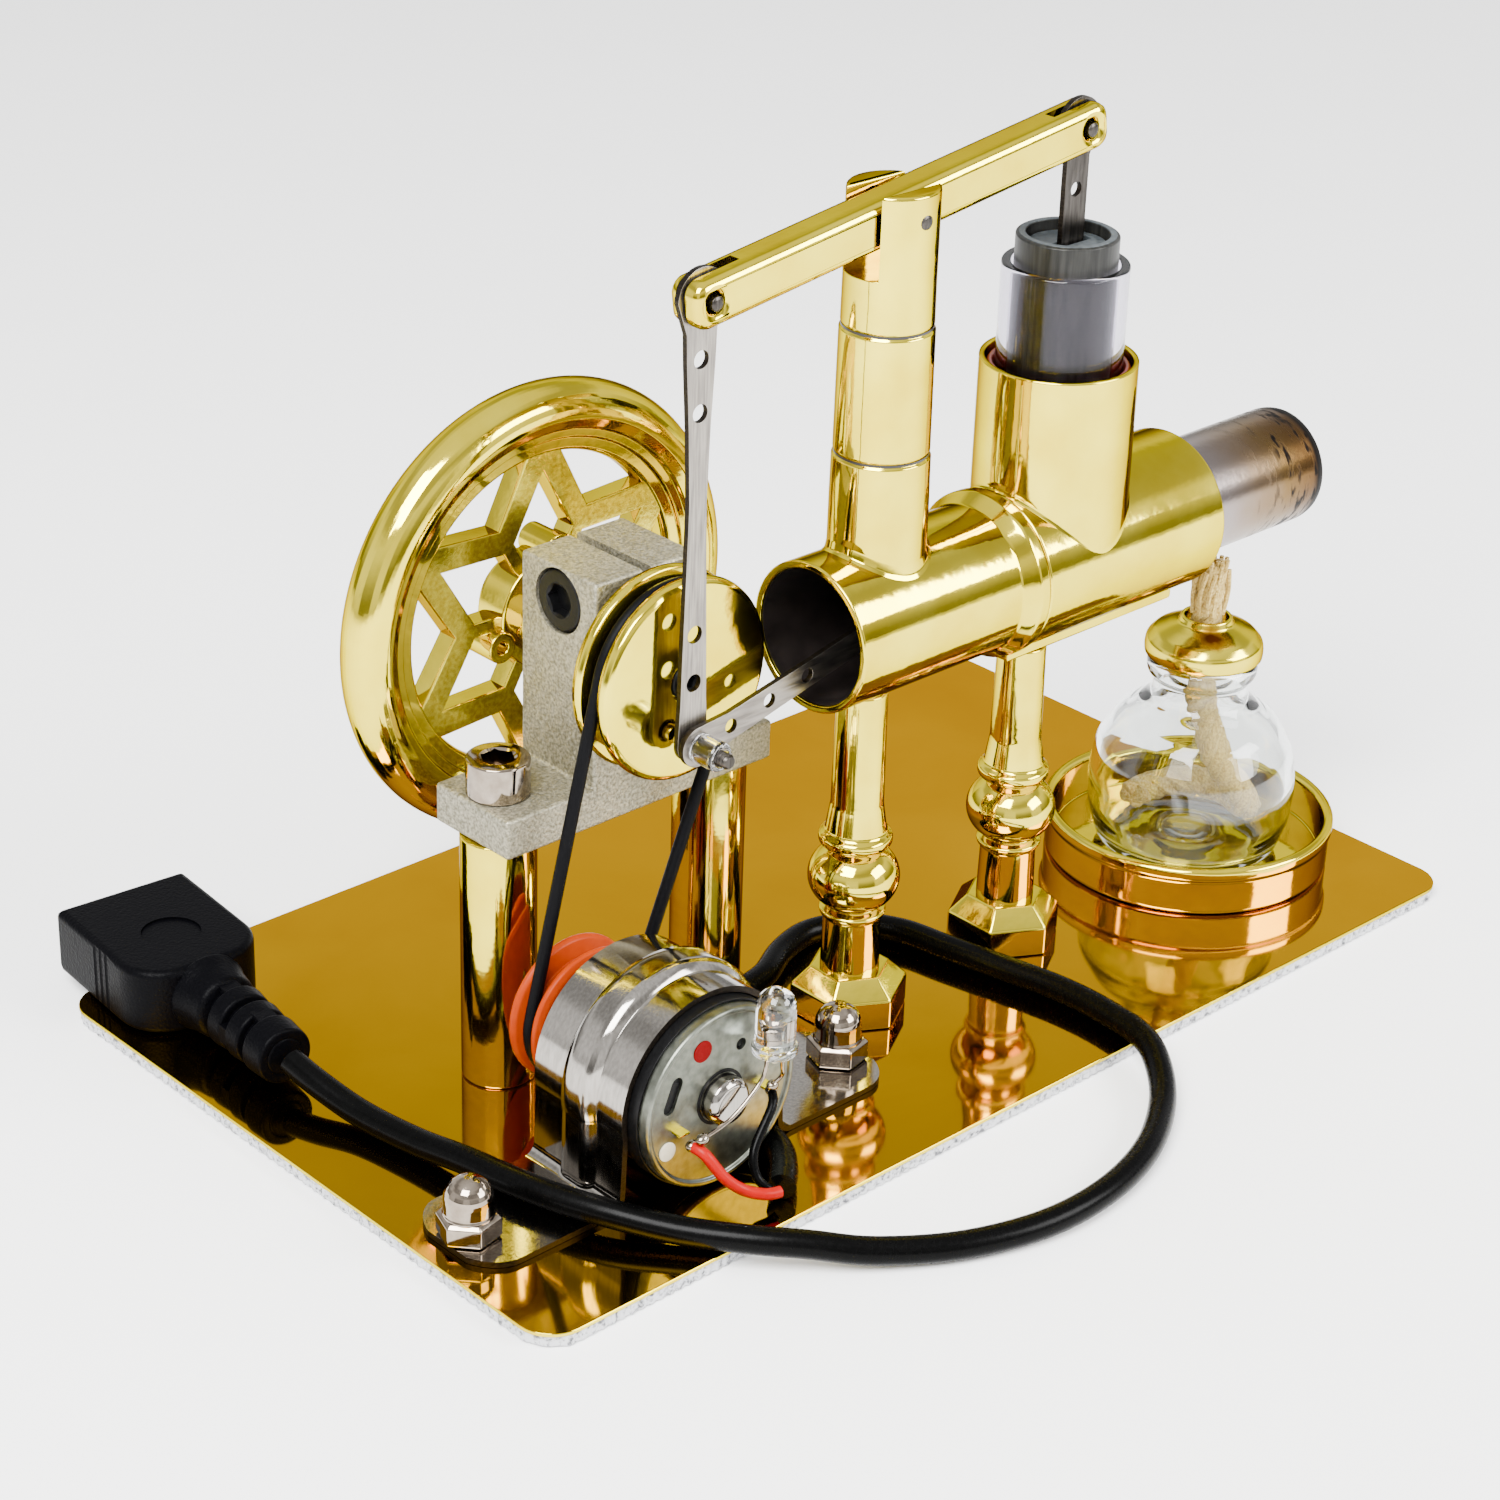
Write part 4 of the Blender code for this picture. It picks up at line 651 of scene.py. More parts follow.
def plate(outline, holes, low, high, axis="Y", edge=0.1):
    """Cut a plate from its outline and holes, between two heights along an axis, with rounded edges."""
    curve = bpy.data.curves.new("plate", "CURVE")
    curve.dimensions = "2D"
    curve.fill_mode = "BOTH"
    curve.extrude = (high - low) / 2.0 - edge
    curve.bevel_depth = edge
    curve.bevel_resolution = 2
    curve.offset = -edge
    for loop in [outline, *holes]:
        add_loop(curve, loop, True)
    shape = mesh_of_curve(curve)
    middle = (low + high) / 2.0
    for vert in shape.verts:
        vert.co = at_axis(vert.co.x, vert.co.y, vert.co.z + middle, (0.0, 0.0, 0.0), axis)
    bmesh.ops.recalc_face_normals(shape, faces=shape.faces)
    return shape


def wire(points, radius, closed=False, roundness=5):
    """Sweep a round section along a line of points."""
    curve = bpy.data.curves.new("wire", "CURVE")
    curve.dimensions = "3D"
    curve.bevel_depth = radius
    curve.bevel_resolution = roundness
    curve.use_fill_caps = True
    add_loop(curve, points, closed)
    return mesh_of_curve(curve)


# %% [markdown]
# Outlines come from a few drawing helpers: a circle, a rectangle with round corners, and a smooth line
# through given points, which is how a wire or a cable is laid.

# %% Outlines and smooth lines
def circle(centre, radius, steps=40):
    turns = [2.0 * math.pi * k / steps for k in range(steps)]
    return [(centre[0] + radius * math.cos(t), centre[1] + radius * math.sin(t)) for t in turns]


def round_rectangle(half_x, half_y, radius, steps=8):
    points = []
    for k, (sx, sy) in enumerate(((1, 1), (-1, 1), (-1, -1), (1, -1))):
        for j in range(steps + 1):
            t = math.pi * (k / 2.0 + j / (2.0 * steps))
            points.append((sx * (half_x - radius) + radius * math.cos(t),
                           sy * (half_y - radius) + radius * math.sin(t)))
    return points


def smooth_line(route, count):
    """Evenly spaced points on a smooth curve through the route's points."""
    points = [Vector(p) for p in route]
    dense = []
    for i in range(len(points) - 1):
        before, here = points[max(i - 1, 0)], points[i]
        after, beyond = points[i + 1], points[min(i + 2, len(points) - 1)]
        for k in range(16):
            t = k / 16.0
            b = (after - before) * t
            c = (2.0 * before - 5.0 * here + 4.0 * after - beyond) * t * t
            d = (3.0 * here - before - 3.0 * after + beyond) * t * t * t
            dense.append(0.5 * (2.0 * here + b + c + d))
    dense.append(points[-1])
    lengths = [0.0]
    for here, after in zip(dense, dense[1:]):
        lengths.append(lengths[-1] + (after - here).length)
    even = []
    at = 0
    for k in range(count):
        wanted = lengths[-1] * k / (count - 1)
        while at < len(dense) - 2 and lengths[at + 1] < wanted:
            at += 1
        span = max(lengths[at + 1] - lengths[at], 1e-9)
        even.append(dense[at].lerp(dense[at + 1], (wanted - lengths[at]) / span))
    return even


# %% [markdown]
# Slots, sockets and forks are cut with exact Booleans, as a milling cutter would cut them. Some faces of a
# piece have another finish than the rest, such as a strip's cut edge, so one helper parts them off. Then
# every finished shape becomes one object: parts joined, each with its own finish, smooth but for real
# edges, riding on the body that it moves with, and standing for the plain CAD piece that it covers.

# %% Cutting and assembling
def mesh_from(shape, name="part"):
    mesh = bpy.data.meshes.new(name)
    shape.to_mesh(mesh)
    return mesh


def carve(shape, *cutters):
    """Cut the cutters out of a shape."""
    body = bpy.data.objects.new("carved", mesh_from(shape))
    bpy.context.scene.collection.objects.link(body)
    helpers = []
    for cutter in cutters:
        helper = bpy.data.objects.new("cutter", mesh_from(cutter))
        bpy.context.scene.collection.objects.link(helper)
        helpers.append(helper)
        modifier = body.modifiers.new("cut", "BOOLEAN")
        modifier.operation = "DIFFERENCE"
        modifier.solver = "EXACT"
        modifier.object = helper
    graph = bpy.context.evaluated_depsgraph_get()
    made = bmesh.new()
    made.from_mesh(body.evaluated_get(graph).to_mesh())
    for thing in (body, *helpers):
        bpy.data.objects.remove(thing, do_unlink=True)
    return made


def part_off(shape, chosen):
    """Move the chosen faces of a shape to a shape of their own."""
    other = bmesh.new()
    other.from_mesh(mesh_from(shape))
    bmesh.ops.delete(shape, geom=[f for f in shape.faces if chosen(f)], context="FACES")
    bmesh.ops.delete(other, geom=[f for f in other.faces if not chosen(f)], context="FACES")
    return other


def chamfer(shape, width, segments=2, sharper_than=30.0):
    """Round every edge that is sharper than this."""
    bmesh.ops.dissolve_limit(shape, angle_limit=0.01, verts=shape.verts, edges=shape.edges)
    limit = math.radians(sharper_than)
    sharp = [e for e in shape.edges if len(e.link_faces) == 2 and e.calc_face_angle(0.0) > limit]
    bmesh.ops.bevel(shape, geom=sharp, offset=width, segments=segments, profile=0.5, affect="EDGES",
                    clamp_overlap=True)
    return shape


def box(low, high, edge=0.0):
    """A block between two corners."""
    shape = bmesh.new()
    bmesh.ops.create_cube(shape, size=1.0)
    for vert in shape.verts:
        vert.co = [low[k] if vert.co[k] < 0.0 else high[k] for k in range(3)]
    bmesh.ops.recalc_face_normals(shape, faces=shape.faces)
    return chamfer(shape, edge) if edge else shape


def piece(name, parts, body, *nodes, crease=35.0):
    """Join (shape, finish) parts into one object that rides on a body and stands for CAD nodes."""
    whole = bmesh.new()
    finishes = list(dict.fromkeys(finish for _, finish in parts))
    for shape, finish in parts:
        for face in shape.faces:
            face.material_index = finishes.index(finish)
        whole.from_mesh(mesh_from(shape))
    whole.transform(Matrix.Scale(MM, 4))
    mesh = mesh_from(whole, name)
    mesh.shade_smooth()
    mesh.set_sharp_from_angle(angle=math.radians(crease))
    for finish in finishes:
        mesh.materials.append(finish)
    thing = bpy.data.objects.new(name, mesh)
    bpy.context.scene.collection.objects.link(thing)
    even = thing.modifiers.new("even_shading", "WEIGHTED_NORMAL")
    even.keep_sharp = True
    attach(thing, body)
    if nodes:
        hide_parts(*nodes)
    print(f"{name}: {len(mesh.polygons)} faces on {body}")
    return thing


# %% [markdown]
# ## The base
#
# A thin sheet of amber mirror is glued on a stiff board. The board is cut a touch smaller, and its torn
# edge shows as a pale ragged line under the bright edge of the sheet.

# %% Base plate
PLATE_HALF = (85.0, 50.0)
PLATE_CORNER = 5.0
FLOOR_Z = 2.06  # the plate's top, and a hair of room under what stands on it
sheet = plate(round_rectangle(*PLATE_HALF, PLATE_CORNER), [], 1.5, 2.0, "Z", 0.12)
bright_rim = part_off(sheet, lambda face: abs(face.normal.z) < 0.95)
piece("amber_sheet", [(sheet, AMBER), (bright_rim, GOLD)], "base", "base_skin")


def torn_board():
    """The board, with its outline nibbled by a fixed wave so that the edge is ragged."""
    outline = []
    loop = round_rectangle(*PLATE_HALF, PLATE_CORNER)
    for here, after in zip(loop, loop[1:] + loop[:1]):
        steps = max(1, round(math.dist(here, after) / 0.45))
        for k in range(steps):
            x = here[0] + (after[0] - here[0]) * k / steps
            y = here[1] + (after[1] - here[1]) * k / steps
            nibble = 0.16 + 0.10 * math.sin(4.1 * x + 3.3 * y) + 0.07 * math.sin(9.7 * x - 7.9 * y)
            outline.append((x * (1.0 - nibble / PLATE_HALF[0]), y * (1.0 - nibble / PLATE_HALF[1])))
    return plate(outline, [], 0.0, 1.45, "Z", 0.1)


piece("backing_board", [(torn_board(), TORN_EDGE)], "base", "base_core")

# %% [markdown]
# ## Legs
#
# Each leg is one turned casting with a ball between two collars, standing on a hexagonal foot whose top
# slopes up to the shaft. The ball's profile is worked out from a circle, so that it shines as a ball.

# %% Legs
AXIS_Y = -18.5
TUBE_Z = 59.5


def leg(name, x, top, node):
    turns = [math.radians(a) for a in range(-60, 61, 10)]
    ball = [(5.95 * math.cos(t) + 0.2, 22.2 + 5.0 * math.sin(t)) for t in turns]
    profile = [(0.0, 8.0), (4.0, 8.0), (3.8, 16.4), (4.3, 16.6), (4.5, 17.4), *ball]
    profile += [(4.5, 27.0), (4.9, 27.5), (4.9, 28.5), (4.1, 29.1), (3.5, 33.0), (3.3, top), (0.0, top)]
    shaft = turn(profile, (x, AXIS_Y, 0.0), soft=0.35)
    foot = [(0.0, FLOOR_Z), (8.1, FLOOR_Z), (8.1, 6.2), (5.4, 8.7), (0.0, 8.7)]
    hexagon = chamfer(turn(foot, (x, AXIS_Y, 0.0), steps=6, soft=0.0, start=math.pi / 6.0), 0.3)
    piece(name, [(shaft, GOLD), (hexagon, GOLD)], "base", node)


leg("front_leg", -6.0, 49.3, "leg_front")
leg("rear_leg", 24.2, 46.9, "leg_rear")

# %% [markdown]
# ## Front tube and column
#
# The open tube is where the displacer's link goes in. Its bore is lined near black, as painted shade for the
# dark inside of the tube. The column that carries the beam grows out of the tube's top, with a small cast
# fillet that follows the round of the tube, and it is stepped twice, with a fine groove at each step whose
# bottom is painted dark as painted shade. Its top is a fork of two round-backed prongs.

# %% Front tube
TUBE_AXIS = (0.0, AXIS_Y, TUBE_Z)
front_profile = [(10.0, -16.1), (10.0, 12.6), (11.0, 14.2), (11.3, 14.6), (11.3, 16.4)]
front_profile += [(9.0, 16.4), (9.0, -16.1)]
front_shell = turn(front_profile, TUBE_AXIS, "X", soft=0.35, ring=True)
# The bore's near-black lining is painted shade for the dark inside of the tube.
bore_profile = [(8.95, -15.6), (9.1, -15.6), (9.1, 16.3), (8.95, 16.3)]
front_bore = turn(bore_profile, TUBE_AXIS, "X", soft=0.0, ring=True)


def saddle(shape, foot_z, tube_radius, height):
    """Bend the rings of an upright piece, up to this height over its foot, down onto a level tube."""
    for vert in shape.verts:
        step = vert.co.z - foot_z
        if step < height:
            across = min(abs(vert.co.y - AXIS_Y), 0.985 * tube_radius)
            vert.co.z = TUBE_Z + math.sqrt(tube_radius ** 2 - across ** 2) + step
    return shape


COLUMN_X = -4.8
COLUMN_AXIS = (COLUMN_X, AXIS_Y, 0.0)
column_profile = [(6.1, 67.9), (7.1, 68.0), (6.55, 68.4), (6.35, 69.4)]
column_profile += [(6.32, 76.0), (6.25, 81.6), (5.95, 81.9)]
column_profile += [(5.95, 82.2), (6.12, 82.5), (6.0, 98.2), (5.72, 98.5), (5.72, 98.8), (5.85, 99.1)]
column_profile += [(5.78, 105.6), (0.0, 105.6)]
column = saddle(turn(column_profile, COLUMN_AXIS, soft=0.12), 68.0, 9.9, 1.6)


def prong(side):
    """One half of the fork: a round back, and a flat face 3 mm from the middle."""
    radius = 5.8
    half_angle = math.acos(3.0 / radius)
    turns = [half_angle * (k / 12.0 - 1.0) for k in range(25)]
    outline = [(COLUMN_X + radius * math.sin(t), AXIS_Y + side * radius * math.cos(t)) for t in turns]
    return plate(outline, [], 105.0, 116.2, "Z", 0.45)


def groove_shade(z, radius):
    """A dark ring of painted shade that fills the bottom of one of the column's grooves."""
    profile = [(5.5, z - 0.16), (radius, z - 0.16), (radius, z + 0.16), (5.5, z + 0.16)]
    return turn(profile, COLUMN_AXIS, soft=0.0, ring=True)


front_parts = [(front_shell, GOLD), (front_bore, SHADE_BLACK), (column, GOLD)]
front_parts += [(prong(-1), GOLD), (prong(1), GOLD)]
# The near-black rings in the two grooves are painted shade.
front_parts += [(groove_shade(82.05, 6.02), SHADE_BLACK), (groove_shade(98.65, 5.79), SHADE_BLACK)]
piece("front_tube_and_column", front_parts, "base", "engine_front")

# %% [markdown]
# ## Rear body, tower and keel
#
# The rear casting bolts to the front one at a pair of flanges, with a dark seam between them. A tower
# stands on it to hold the glass cylinder, and a flat keel runs under it to take the rear leg. The tower's
# well goes down into the body, so that the piston has room at the bottom of its stroke. A mould seam runs
# up the tower's side, as it does on any two-part casting.

# %% Rear body
TOWER_X = 27.4
TOWER_AXIS = (TOWER_X, AXIS_Y, 0.0)
TOWER_RADIUS = 10.42
rear_profile = [(11.0, 16.75), (11.0, 51.3), (8.6, 51.3), (8.6, 16.7)]
rear_shell = turn(rear_profile, TUBE_AXIS, "X", soft=0.35, ring=True)
tower_profile = [(9.9, 67.9), (10.7, 68.1), (10.45, 68.6), (10.4, 86.9), (9.6, 86.9)]
tower_profile += [(9.6, 69.1), (0.0, 69.1)]
tower = saddle(turn(tower_profile, TOWER_AXIS, soft=0.3), 68.1, 10.9, 0.95)
well = turn([(0.0, 69.05), (9.5, 69.05), (9.5, 76.0), (0.0, 76.0)], TOWER_AXIS, soft=0.0)
rear_shell = carve(rear_shell, well)
keel = box((17.4, AXIS_Y - 3.6, 47.1), (50.4, AXIS_Y + 3.6, 53.0), 0.5)
seam_turn = math.radians(196.0)
seam_x = TOWER_X + TOWER_RADIUS * math.cos(seam_turn)
seam_y = AXIS_Y + TOWER_RADIUS * math.sin(seam_turn)
mould_seam = box((seam_x - 0.10, seam_y - 0.14, 70.0), (seam_x + 0.10, seam_y + 0.14, 86.0), 0.05)
piece("rear_body_and_tower", [(rear_shell, GOLD), (tower, GOLD), (keel, GOLD), (mould_seam, GOLD)],
      "base", "engine_rear")

# %% [markdown]
# ## Hot cap and displacer
#
# The hot cap is drawn from one thin disc of stainless steel, closed and rounded at the burner's end. The
# displacer inside it is a steel can on a rod. The rod runs in a guide and ends in a fork, and only the fork
# can be seen, through the open tube.

# %% Hot cap
hot_profile = [(8.25, 38.0), (8.25, 75.0), (8.05, 76.1), (7.0, 76.7), (5.0, 76.8), (0.0, 76.8), (0.0, 76.2)]
hot_profile += [(6.6, 76.1), (7.65, 75.0), (7.65, 38.0)]
hot_shell = turn(hot_profile, TUBE_AXIS, "X", soft=0.4, ring=True)
piece("hot_steel_cap", [(hot_shell, HOT_STEEL)], "base", "hot_cap")

guide_profile = [(1.25, 15.8), (8.3, 15.8), (8.3, 17.4), (3.0, 17.4), (3.0, 25.8), (1.25, 25.8)]
guide = turn(guide_profile, TUBE_AXIS, "X", steps=64, ring=True)
piece("rod_guide", [(guide, DARK_STEEL)], "base", "displacer_guide")

displacer_profile = [(0.0, 34.0), (7.2, 34.0), (7.2, 66.0), (6.2, 66.0), (6.2, 35.6), (0.0, 35.6)]
displacer_can = turn(displacer_profile, TUBE_AXIS, "X", steps=64)
piece("displacer_can", [(displacer_can, DARK_STEEL)], "displacer_body", "displacer")

PIN_X = 1.5
fork = box((PIN_X - 2.2, AXIS_Y - 2.9, TUBE_Z - 2.2), (PIN_X + 5.0, AXIS_Y + 1.6, TUBE_Z + 2.2), 0.3)
fork_slot = box((PIN_X - 5.0, -20.2, TUBE_Z - 5.0), (PIN_X + 3.6, -18.6, TUBE_Z + 5.0))
fork_pin = turn([(0.0, -2.5), (0.8, -2.5), (0.8, 1.2), (0.0, 1.2)], (PIN_X, AXIS_Y, TUBE_Z), "Y", 32, 0.1)
fork_rod = turn([(0.0, 5.9), (0.95, 5.9), (0.95, 33.6), (0.0, 33.6)], TUBE_AXIS, "X", 32, 0.1)
fork_parts = [(carve(fork, fork_slot), DARK_STEEL), (fork_pin, BRUSHED_STEEL), (fork_rod, BRUSHED_STEEL)]
piece("displacer_fork_and_rod", fork_parts, "displacer_body", "displacer_rod")

# %% [markdown]
# ## Glass cylinder and piston
#
# The power cylinder is a cut length of thick-walled tube with fire-polished ends, set in a red-brown
# seal. The graphite piston fits it without rings. Its open top shows a turned light rim and a slotted
# grey insert, through which the connecting link passes down to its pin.

# %% Glass cylinder and seal
tube_profile = [(7.0, 76.0), (8.3, 76.0), (8.3, 99.7), (7.0, 99.7)]
tube_wall = turn(tube_profile, TOWER_AXIS, steps=128, soft=0.4, ring=True)
piece("drawn_glass_cylinder", [(tube_wall, DRAWN_GLASS)], "base", "glass_cylinder")
seal_profile = [(8.45, 80.0), (9.45, 80.0), (9.45, 85.6), (9.1, 86.2), (8.7, 86.2), (8.45, 85.6)]
seal_ring = turn(seal_profile, TOWER_AXIS, soft=0.3, ring=True)
piece("silicone_seal", [(seal_ring, RED_SEAL)], "base", "cylinder_seal")

# %% Piston
PISTON_PIN_Z = 95.0
piston_profile = [(0.0, 84.5), (6.7, 84.5), (6.7, 103.3), (6.35, 103.5), (5.4, 103.5)]
piston_profile += [(5.4, 87.5), (0.0, 87.5)]
piston_cup = turn(piston_profile, TOWER_AXIS, soft=0.15)
rim_profile = [(5.45, 103.4), (6.3, 103.4), (6.25, 103.56), (5.5, 103.56)]
turned_rim = turn(rim_profile, TOWER_AXIS, soft=0.03, ring=True)
piece("graphite_piston", [(piston_cup, GRAPHITE), (turned_rim, GREY_INSERT)], "piston", "power_piston")
slot_loop = [(TOWER_X + a, AXIS_Y + b) for a, b in round_rectangle(3.9, 0.8, 0.3, 3)]
insert = plate(circle((TOWER_X, AXIS_Y), 5.1, 64), [slot_loop], 100.2, 102.2, "Z", 0.15)
piece("slotted_insert", [(insert, GREY_INSERT)], "piston", "piston_insert")
pin_profile = [(0.0, -4.9), (0.75, -4.9), (0.75, 4.9), (0.0, 4.9)]
small_pin = turn(pin_profile, (TOWER_X, AXIS_Y, PISTON_PIN_Z), "Y", 32, 0.1)
piece("gudgeon_pin_steel", [(small_pin, NICKEL)], "piston", "gudgeon_pin")

# %% [markdown]
# ## The beam and its links
#
# The beam is a plated bar, forked at both ends for the links. It leans by 8 degrees, so its shape is
# drawn level about its pivot and then turned. Links are laser-cut from 0.8 mm stainless strip: brushed
# faces, a dark edge all round, and a row of lightening holes.

# %% Beam
PIVOT = Vector((COLUMN_X, 112.8))
TILT = math.radians(8.0)


def on_beam(arm, rise=0.0):
    """World X and Z of a point this far right of the pivot along the beam, and this far above its line."""
    x = PIVOT.x + arm * math.cos(TILT) - rise * math.sin(TILT)
    return (x, PIVOT.y + arm * math.sin(TILT) + rise * math.cos(TILT))


LEFT_PIN = on_beam(-31.0)
RIGHT_PIN = on_beam(33.0)
bar_loop = [on_beam(1.0 + a, b) for a, b in round_rectangle(35.1, 3.0, 2.0)]
bar = plate(bar_loop, [circle(p, 1.2) for p in (LEFT_PIN, tuple(PIVOT), RIGHT_PIN)], -21.1, -15.9, "Y", 1.15)
left_slot = box((LEFT_PIN[0] - 8.0, -18.9, LEFT_PIN[1] - 8.0), (LEFT_PIN[0] + 5.2, -17.3, LEFT_PIN[1] + 8.0))
right_slot = box((RIGHT_PIN[0] - 5.6, -19.3, RIGHT_PIN[1] - 8.0),
                 (RIGHT_PIN[0] + 8.0, -17.7, RIGHT_PIN[1] + 8.0))
piece("plated_beam", [(carve(bar, left_slot, right_slot), GOLD)], "rocker", "beam")


def rivet(name, place, half, radius, body, node):
    """A steel pin with slightly domed ends."""
    profile = [(0.0, -half - 0.12), (0.6 * radius, -half - 0.05), (radius, -half + 0.15)]
    profile += [(radius, half - 0.15), (0.6 * radius, half + 0.05), (0.0, half + 0.12)]
    pin = turn(profile, (place[0], AXIS_Y, place[1]), "Y", 40, 0.1)
    piece(name, [(pin, DARK_STEEL)], body, node)


rivet("beam_pivot_rivet", PIVOT, 5.9, 1.0, "rocker", "pivot_pin")
rivet("beam_left_rivet", LEFT_PIN, 2.7, 0.95, "left_rivet", "left_pin")
rivet("beam_right_rivet", RIGHT_PIN, 2.7, 0.95, "rocker", "right_pin")

# %% Cut strips
def strip_loop(start, end, widths, first_radius, last_radius, steps=20):
    """Outline of a flat link: a round eye at each pin and sides through (fraction, half width) stations."""
    along = Vector(end) - Vector(start)
    length = along.length
    along.normalize()
    across = Vector((-along.y, along.x))
    points = []
    for k in range(steps + 1):
        t = math.pi * (0.5 + k / steps)
        points.append((first_radius * math.cos(t), first_radius * math.sin(t)))
    points += [(fraction * length, -half) for fraction, half in widths]
    for k in range(steps + 1):
        t = math.pi * (-0.5 + k / steps)
        points.append((length + last_radius * math.cos(t), last_radius * math.sin(t)))
    points += [(fraction * length, half) for fraction, half in reversed(widths)]
    return [tuple(Vector(start) + s * along + t * across) for s, t in points]


def on_way(start, end, distance):
    return tuple(Vector(start) + (Vector(end) - Vector(start)).normalized() * distance)


def cut_strip(name, loop, holes, middle_y, face_finish, body, node):
    """A strip with brushed faces and a dark laser-cut edge."""
    strip = plate(loop, holes, middle_y - 0.4, middle_y + 0.4, "Y", 0.05)
    edges = part_off(strip, lambda face: abs(face.normal.y) < 0.5)
    piece(name, [(strip, face_finish), (edges, SHEARED_EDGE)], body, node)


SHAFT = (-34.0, 58.0)
CRANK_THROW = 7.2
CRANK_EYE = (LEFT_PIN[0], SHAFT[1] - math.sqrt(CRANK_THROW ** 2 - (LEFT_PIN[0] - SHAFT[0]) ** 2))
rod_widths = [(0.06, 2.25), (0.10, 2.1), (0.22, 1.95), (0.40, 1.62), (0.55, 1.4), (0.72, 1.75)]
rod_widths += [(0.86, 2.25), (0.93, 2.4)]
rod_loop = strip_loop(CRANK_EYE, LEFT_PIN, rod_widths, 2.4, 3.8)
rod_holes = [circle(CRANK_EYE, 1.5), circle(LEFT_PIN, 1.2)]
rod_holes += [circle(on_way(CRANK_EYE, LEFT_PIN, d), 1.15) for d in (8.2, 14.7, 43.3, 50.0)]
cut_strip("long_beam_rod", rod_loop, rod_holes, -18.1, BRUSHED_STEEL, "rod", "beam_rod")

LINK_PIN = (PIN_X, TUBE_Z)
link_loop = strip_loop(CRANK_EYE, LINK_PIN, [(0.08, 2.3), (0.14, 2.0), (0.5, 1.8), (0.9, 1.8)], 2.7, 1.9)
link_holes = [circle(CRANK_EYE, 1.5), circle(LINK_PIN, 1.1)]
link_holes += [circle(on_way(CRANK_EYE, LINK_PIN, d), 0.95) for d in (5.4, 12.0, 18.6)]
cut_strip("short_displacer_link", link_loop, link_holes, -19.4, LINK_STEEL, "link", "displacer_link")

PISTON_PIN = (RIGHT_PIN[0], PISTON_PIN_Z)
pin_slot = [(TOWER_X + a, PISTON_PIN_Z + b) for a, b in round_rectangle(2.3, 1.05, 0.9, 4)]
piston_holes = [pin_slot, circle(RIGHT_PIN, 1.2), circle(on_way(RIGHT_PIN, PISTON_PIN, 8.2), 0.95)]
piston_loop = strip_loop(PISTON_PIN, RIGHT_PIN, [(0.22, 2.1), (0.6, 2.1), (0.82, 2.1)], 3.4, 3.8)
cut_strip("dark_piston_link", piston_loop, piston_holes, AXIS_Y, DARK_STEEL, "connecting_link", "piston_link")

# %% [markdown]
# The crank stud is a screw: a plain neck in a clear plastic sleeve that keeps the links apart, then a
# short threaded tip. The thread is drawn as a row of ridges, since a helix this small looks the same.

# %% Crank stud and sleeve
def threaded(radius, start, end, pitch):
    """Profile of a threaded length: a ridge every pitch."""
    profile = [(0.0, start), (radius - 0.25, start)]
    for k in range(int((end - start - 0.3) / pitch)):
        low = start + 0.2 + k * pitch
        profile += [(radius, low + 0.35 * pitch), (radius, low + 0.5 * pitch)]
        profile.append((radius - 0.2, low + 0.95 * pitch))
    return profile


stud_centre = (CRANK_EYE[0], 0.0, CRANK_EYE[1])
stud_profile = [*threaded(1.0, -25.4, -22.6, 0.5), (1.0, -22.4), (1.0, -19.0), (0.0, -19.0)]
stud = turn(stud_profile, stud_centre, "Y", 48, 0.03)
piece("crank_stud_screw", [(stud, DARK_STEEL)], "link", "crank_stud")
sleeve_profile = [(1.25, -23.8), (1.75, -23.8), (1.95, -23.4), (1.95, -20.0), (1.25, -20.0)]
sleeve = turn(sleeve_profile, stud_centre, "Y", 64, 0.15, ring=True)
piece("clear_sleeve", [(sleeve, CLEAR_SLEEVE)], "link", "crank_sleeve")
head_profile = [(0.0, -18.75), (1.2, -18.75), (1.2, -16.2), (0.0, -16.2)]
stud_head = turn(head_profile, stud_centre, "Y", 48, 0.15)
piece("crank_pin_steel", [(stud_head, NICKEL)], "rod", "crank_pin")

# %% [markdown]
# ## Posts and bearing block
#
# Two plated posts carry the cast bearing block, held by nickel-plated socket screws. The block is one
# casting: a bar across the posts, and an upright that is slit from the top and clamped round the shaft's
# bearings by a black screw. Its edges are rounded by the mould and the blasting.

# %% Posts and socket screws
POST_Y = -0.9
POST_APART = 17.9


def cap_screw(centre, tip, seat, head_radius, head_height, shank, axis):
    """A socket cap screw: turned head with a rounded crown, and a hexagonal socket cut into it."""
    sign = 1.0 if seat > tip else -1.0
    crown = seat + sign * head_height
    profile = [(0.0, tip), (shank, tip), (shank, seat)]
    profile += [(head_radius, seat), (head_radius, crown), (0.0, crown)]
    head = turn(profile, centre, axis, 72, 0.35)
    low, high = sorted((crown - sign * head_height * 0.55, crown + sign))
    key = head_radius * 0.56
    socket = turn([(0.0, low), (key, low), (key, high), (0.0, high)], centre, axis, 6, 0.0, start=0.031)
    inside, outside = crown - sign * 0.25, crown + sign * 0.1
    cone = [(0.0, inside), (head_radius * 0.50, inside), (head_radius * 0.62, outside), (0.0, outside)]
    return carve(head, socket, turn(cone, centre, axis, 48, 0.0))


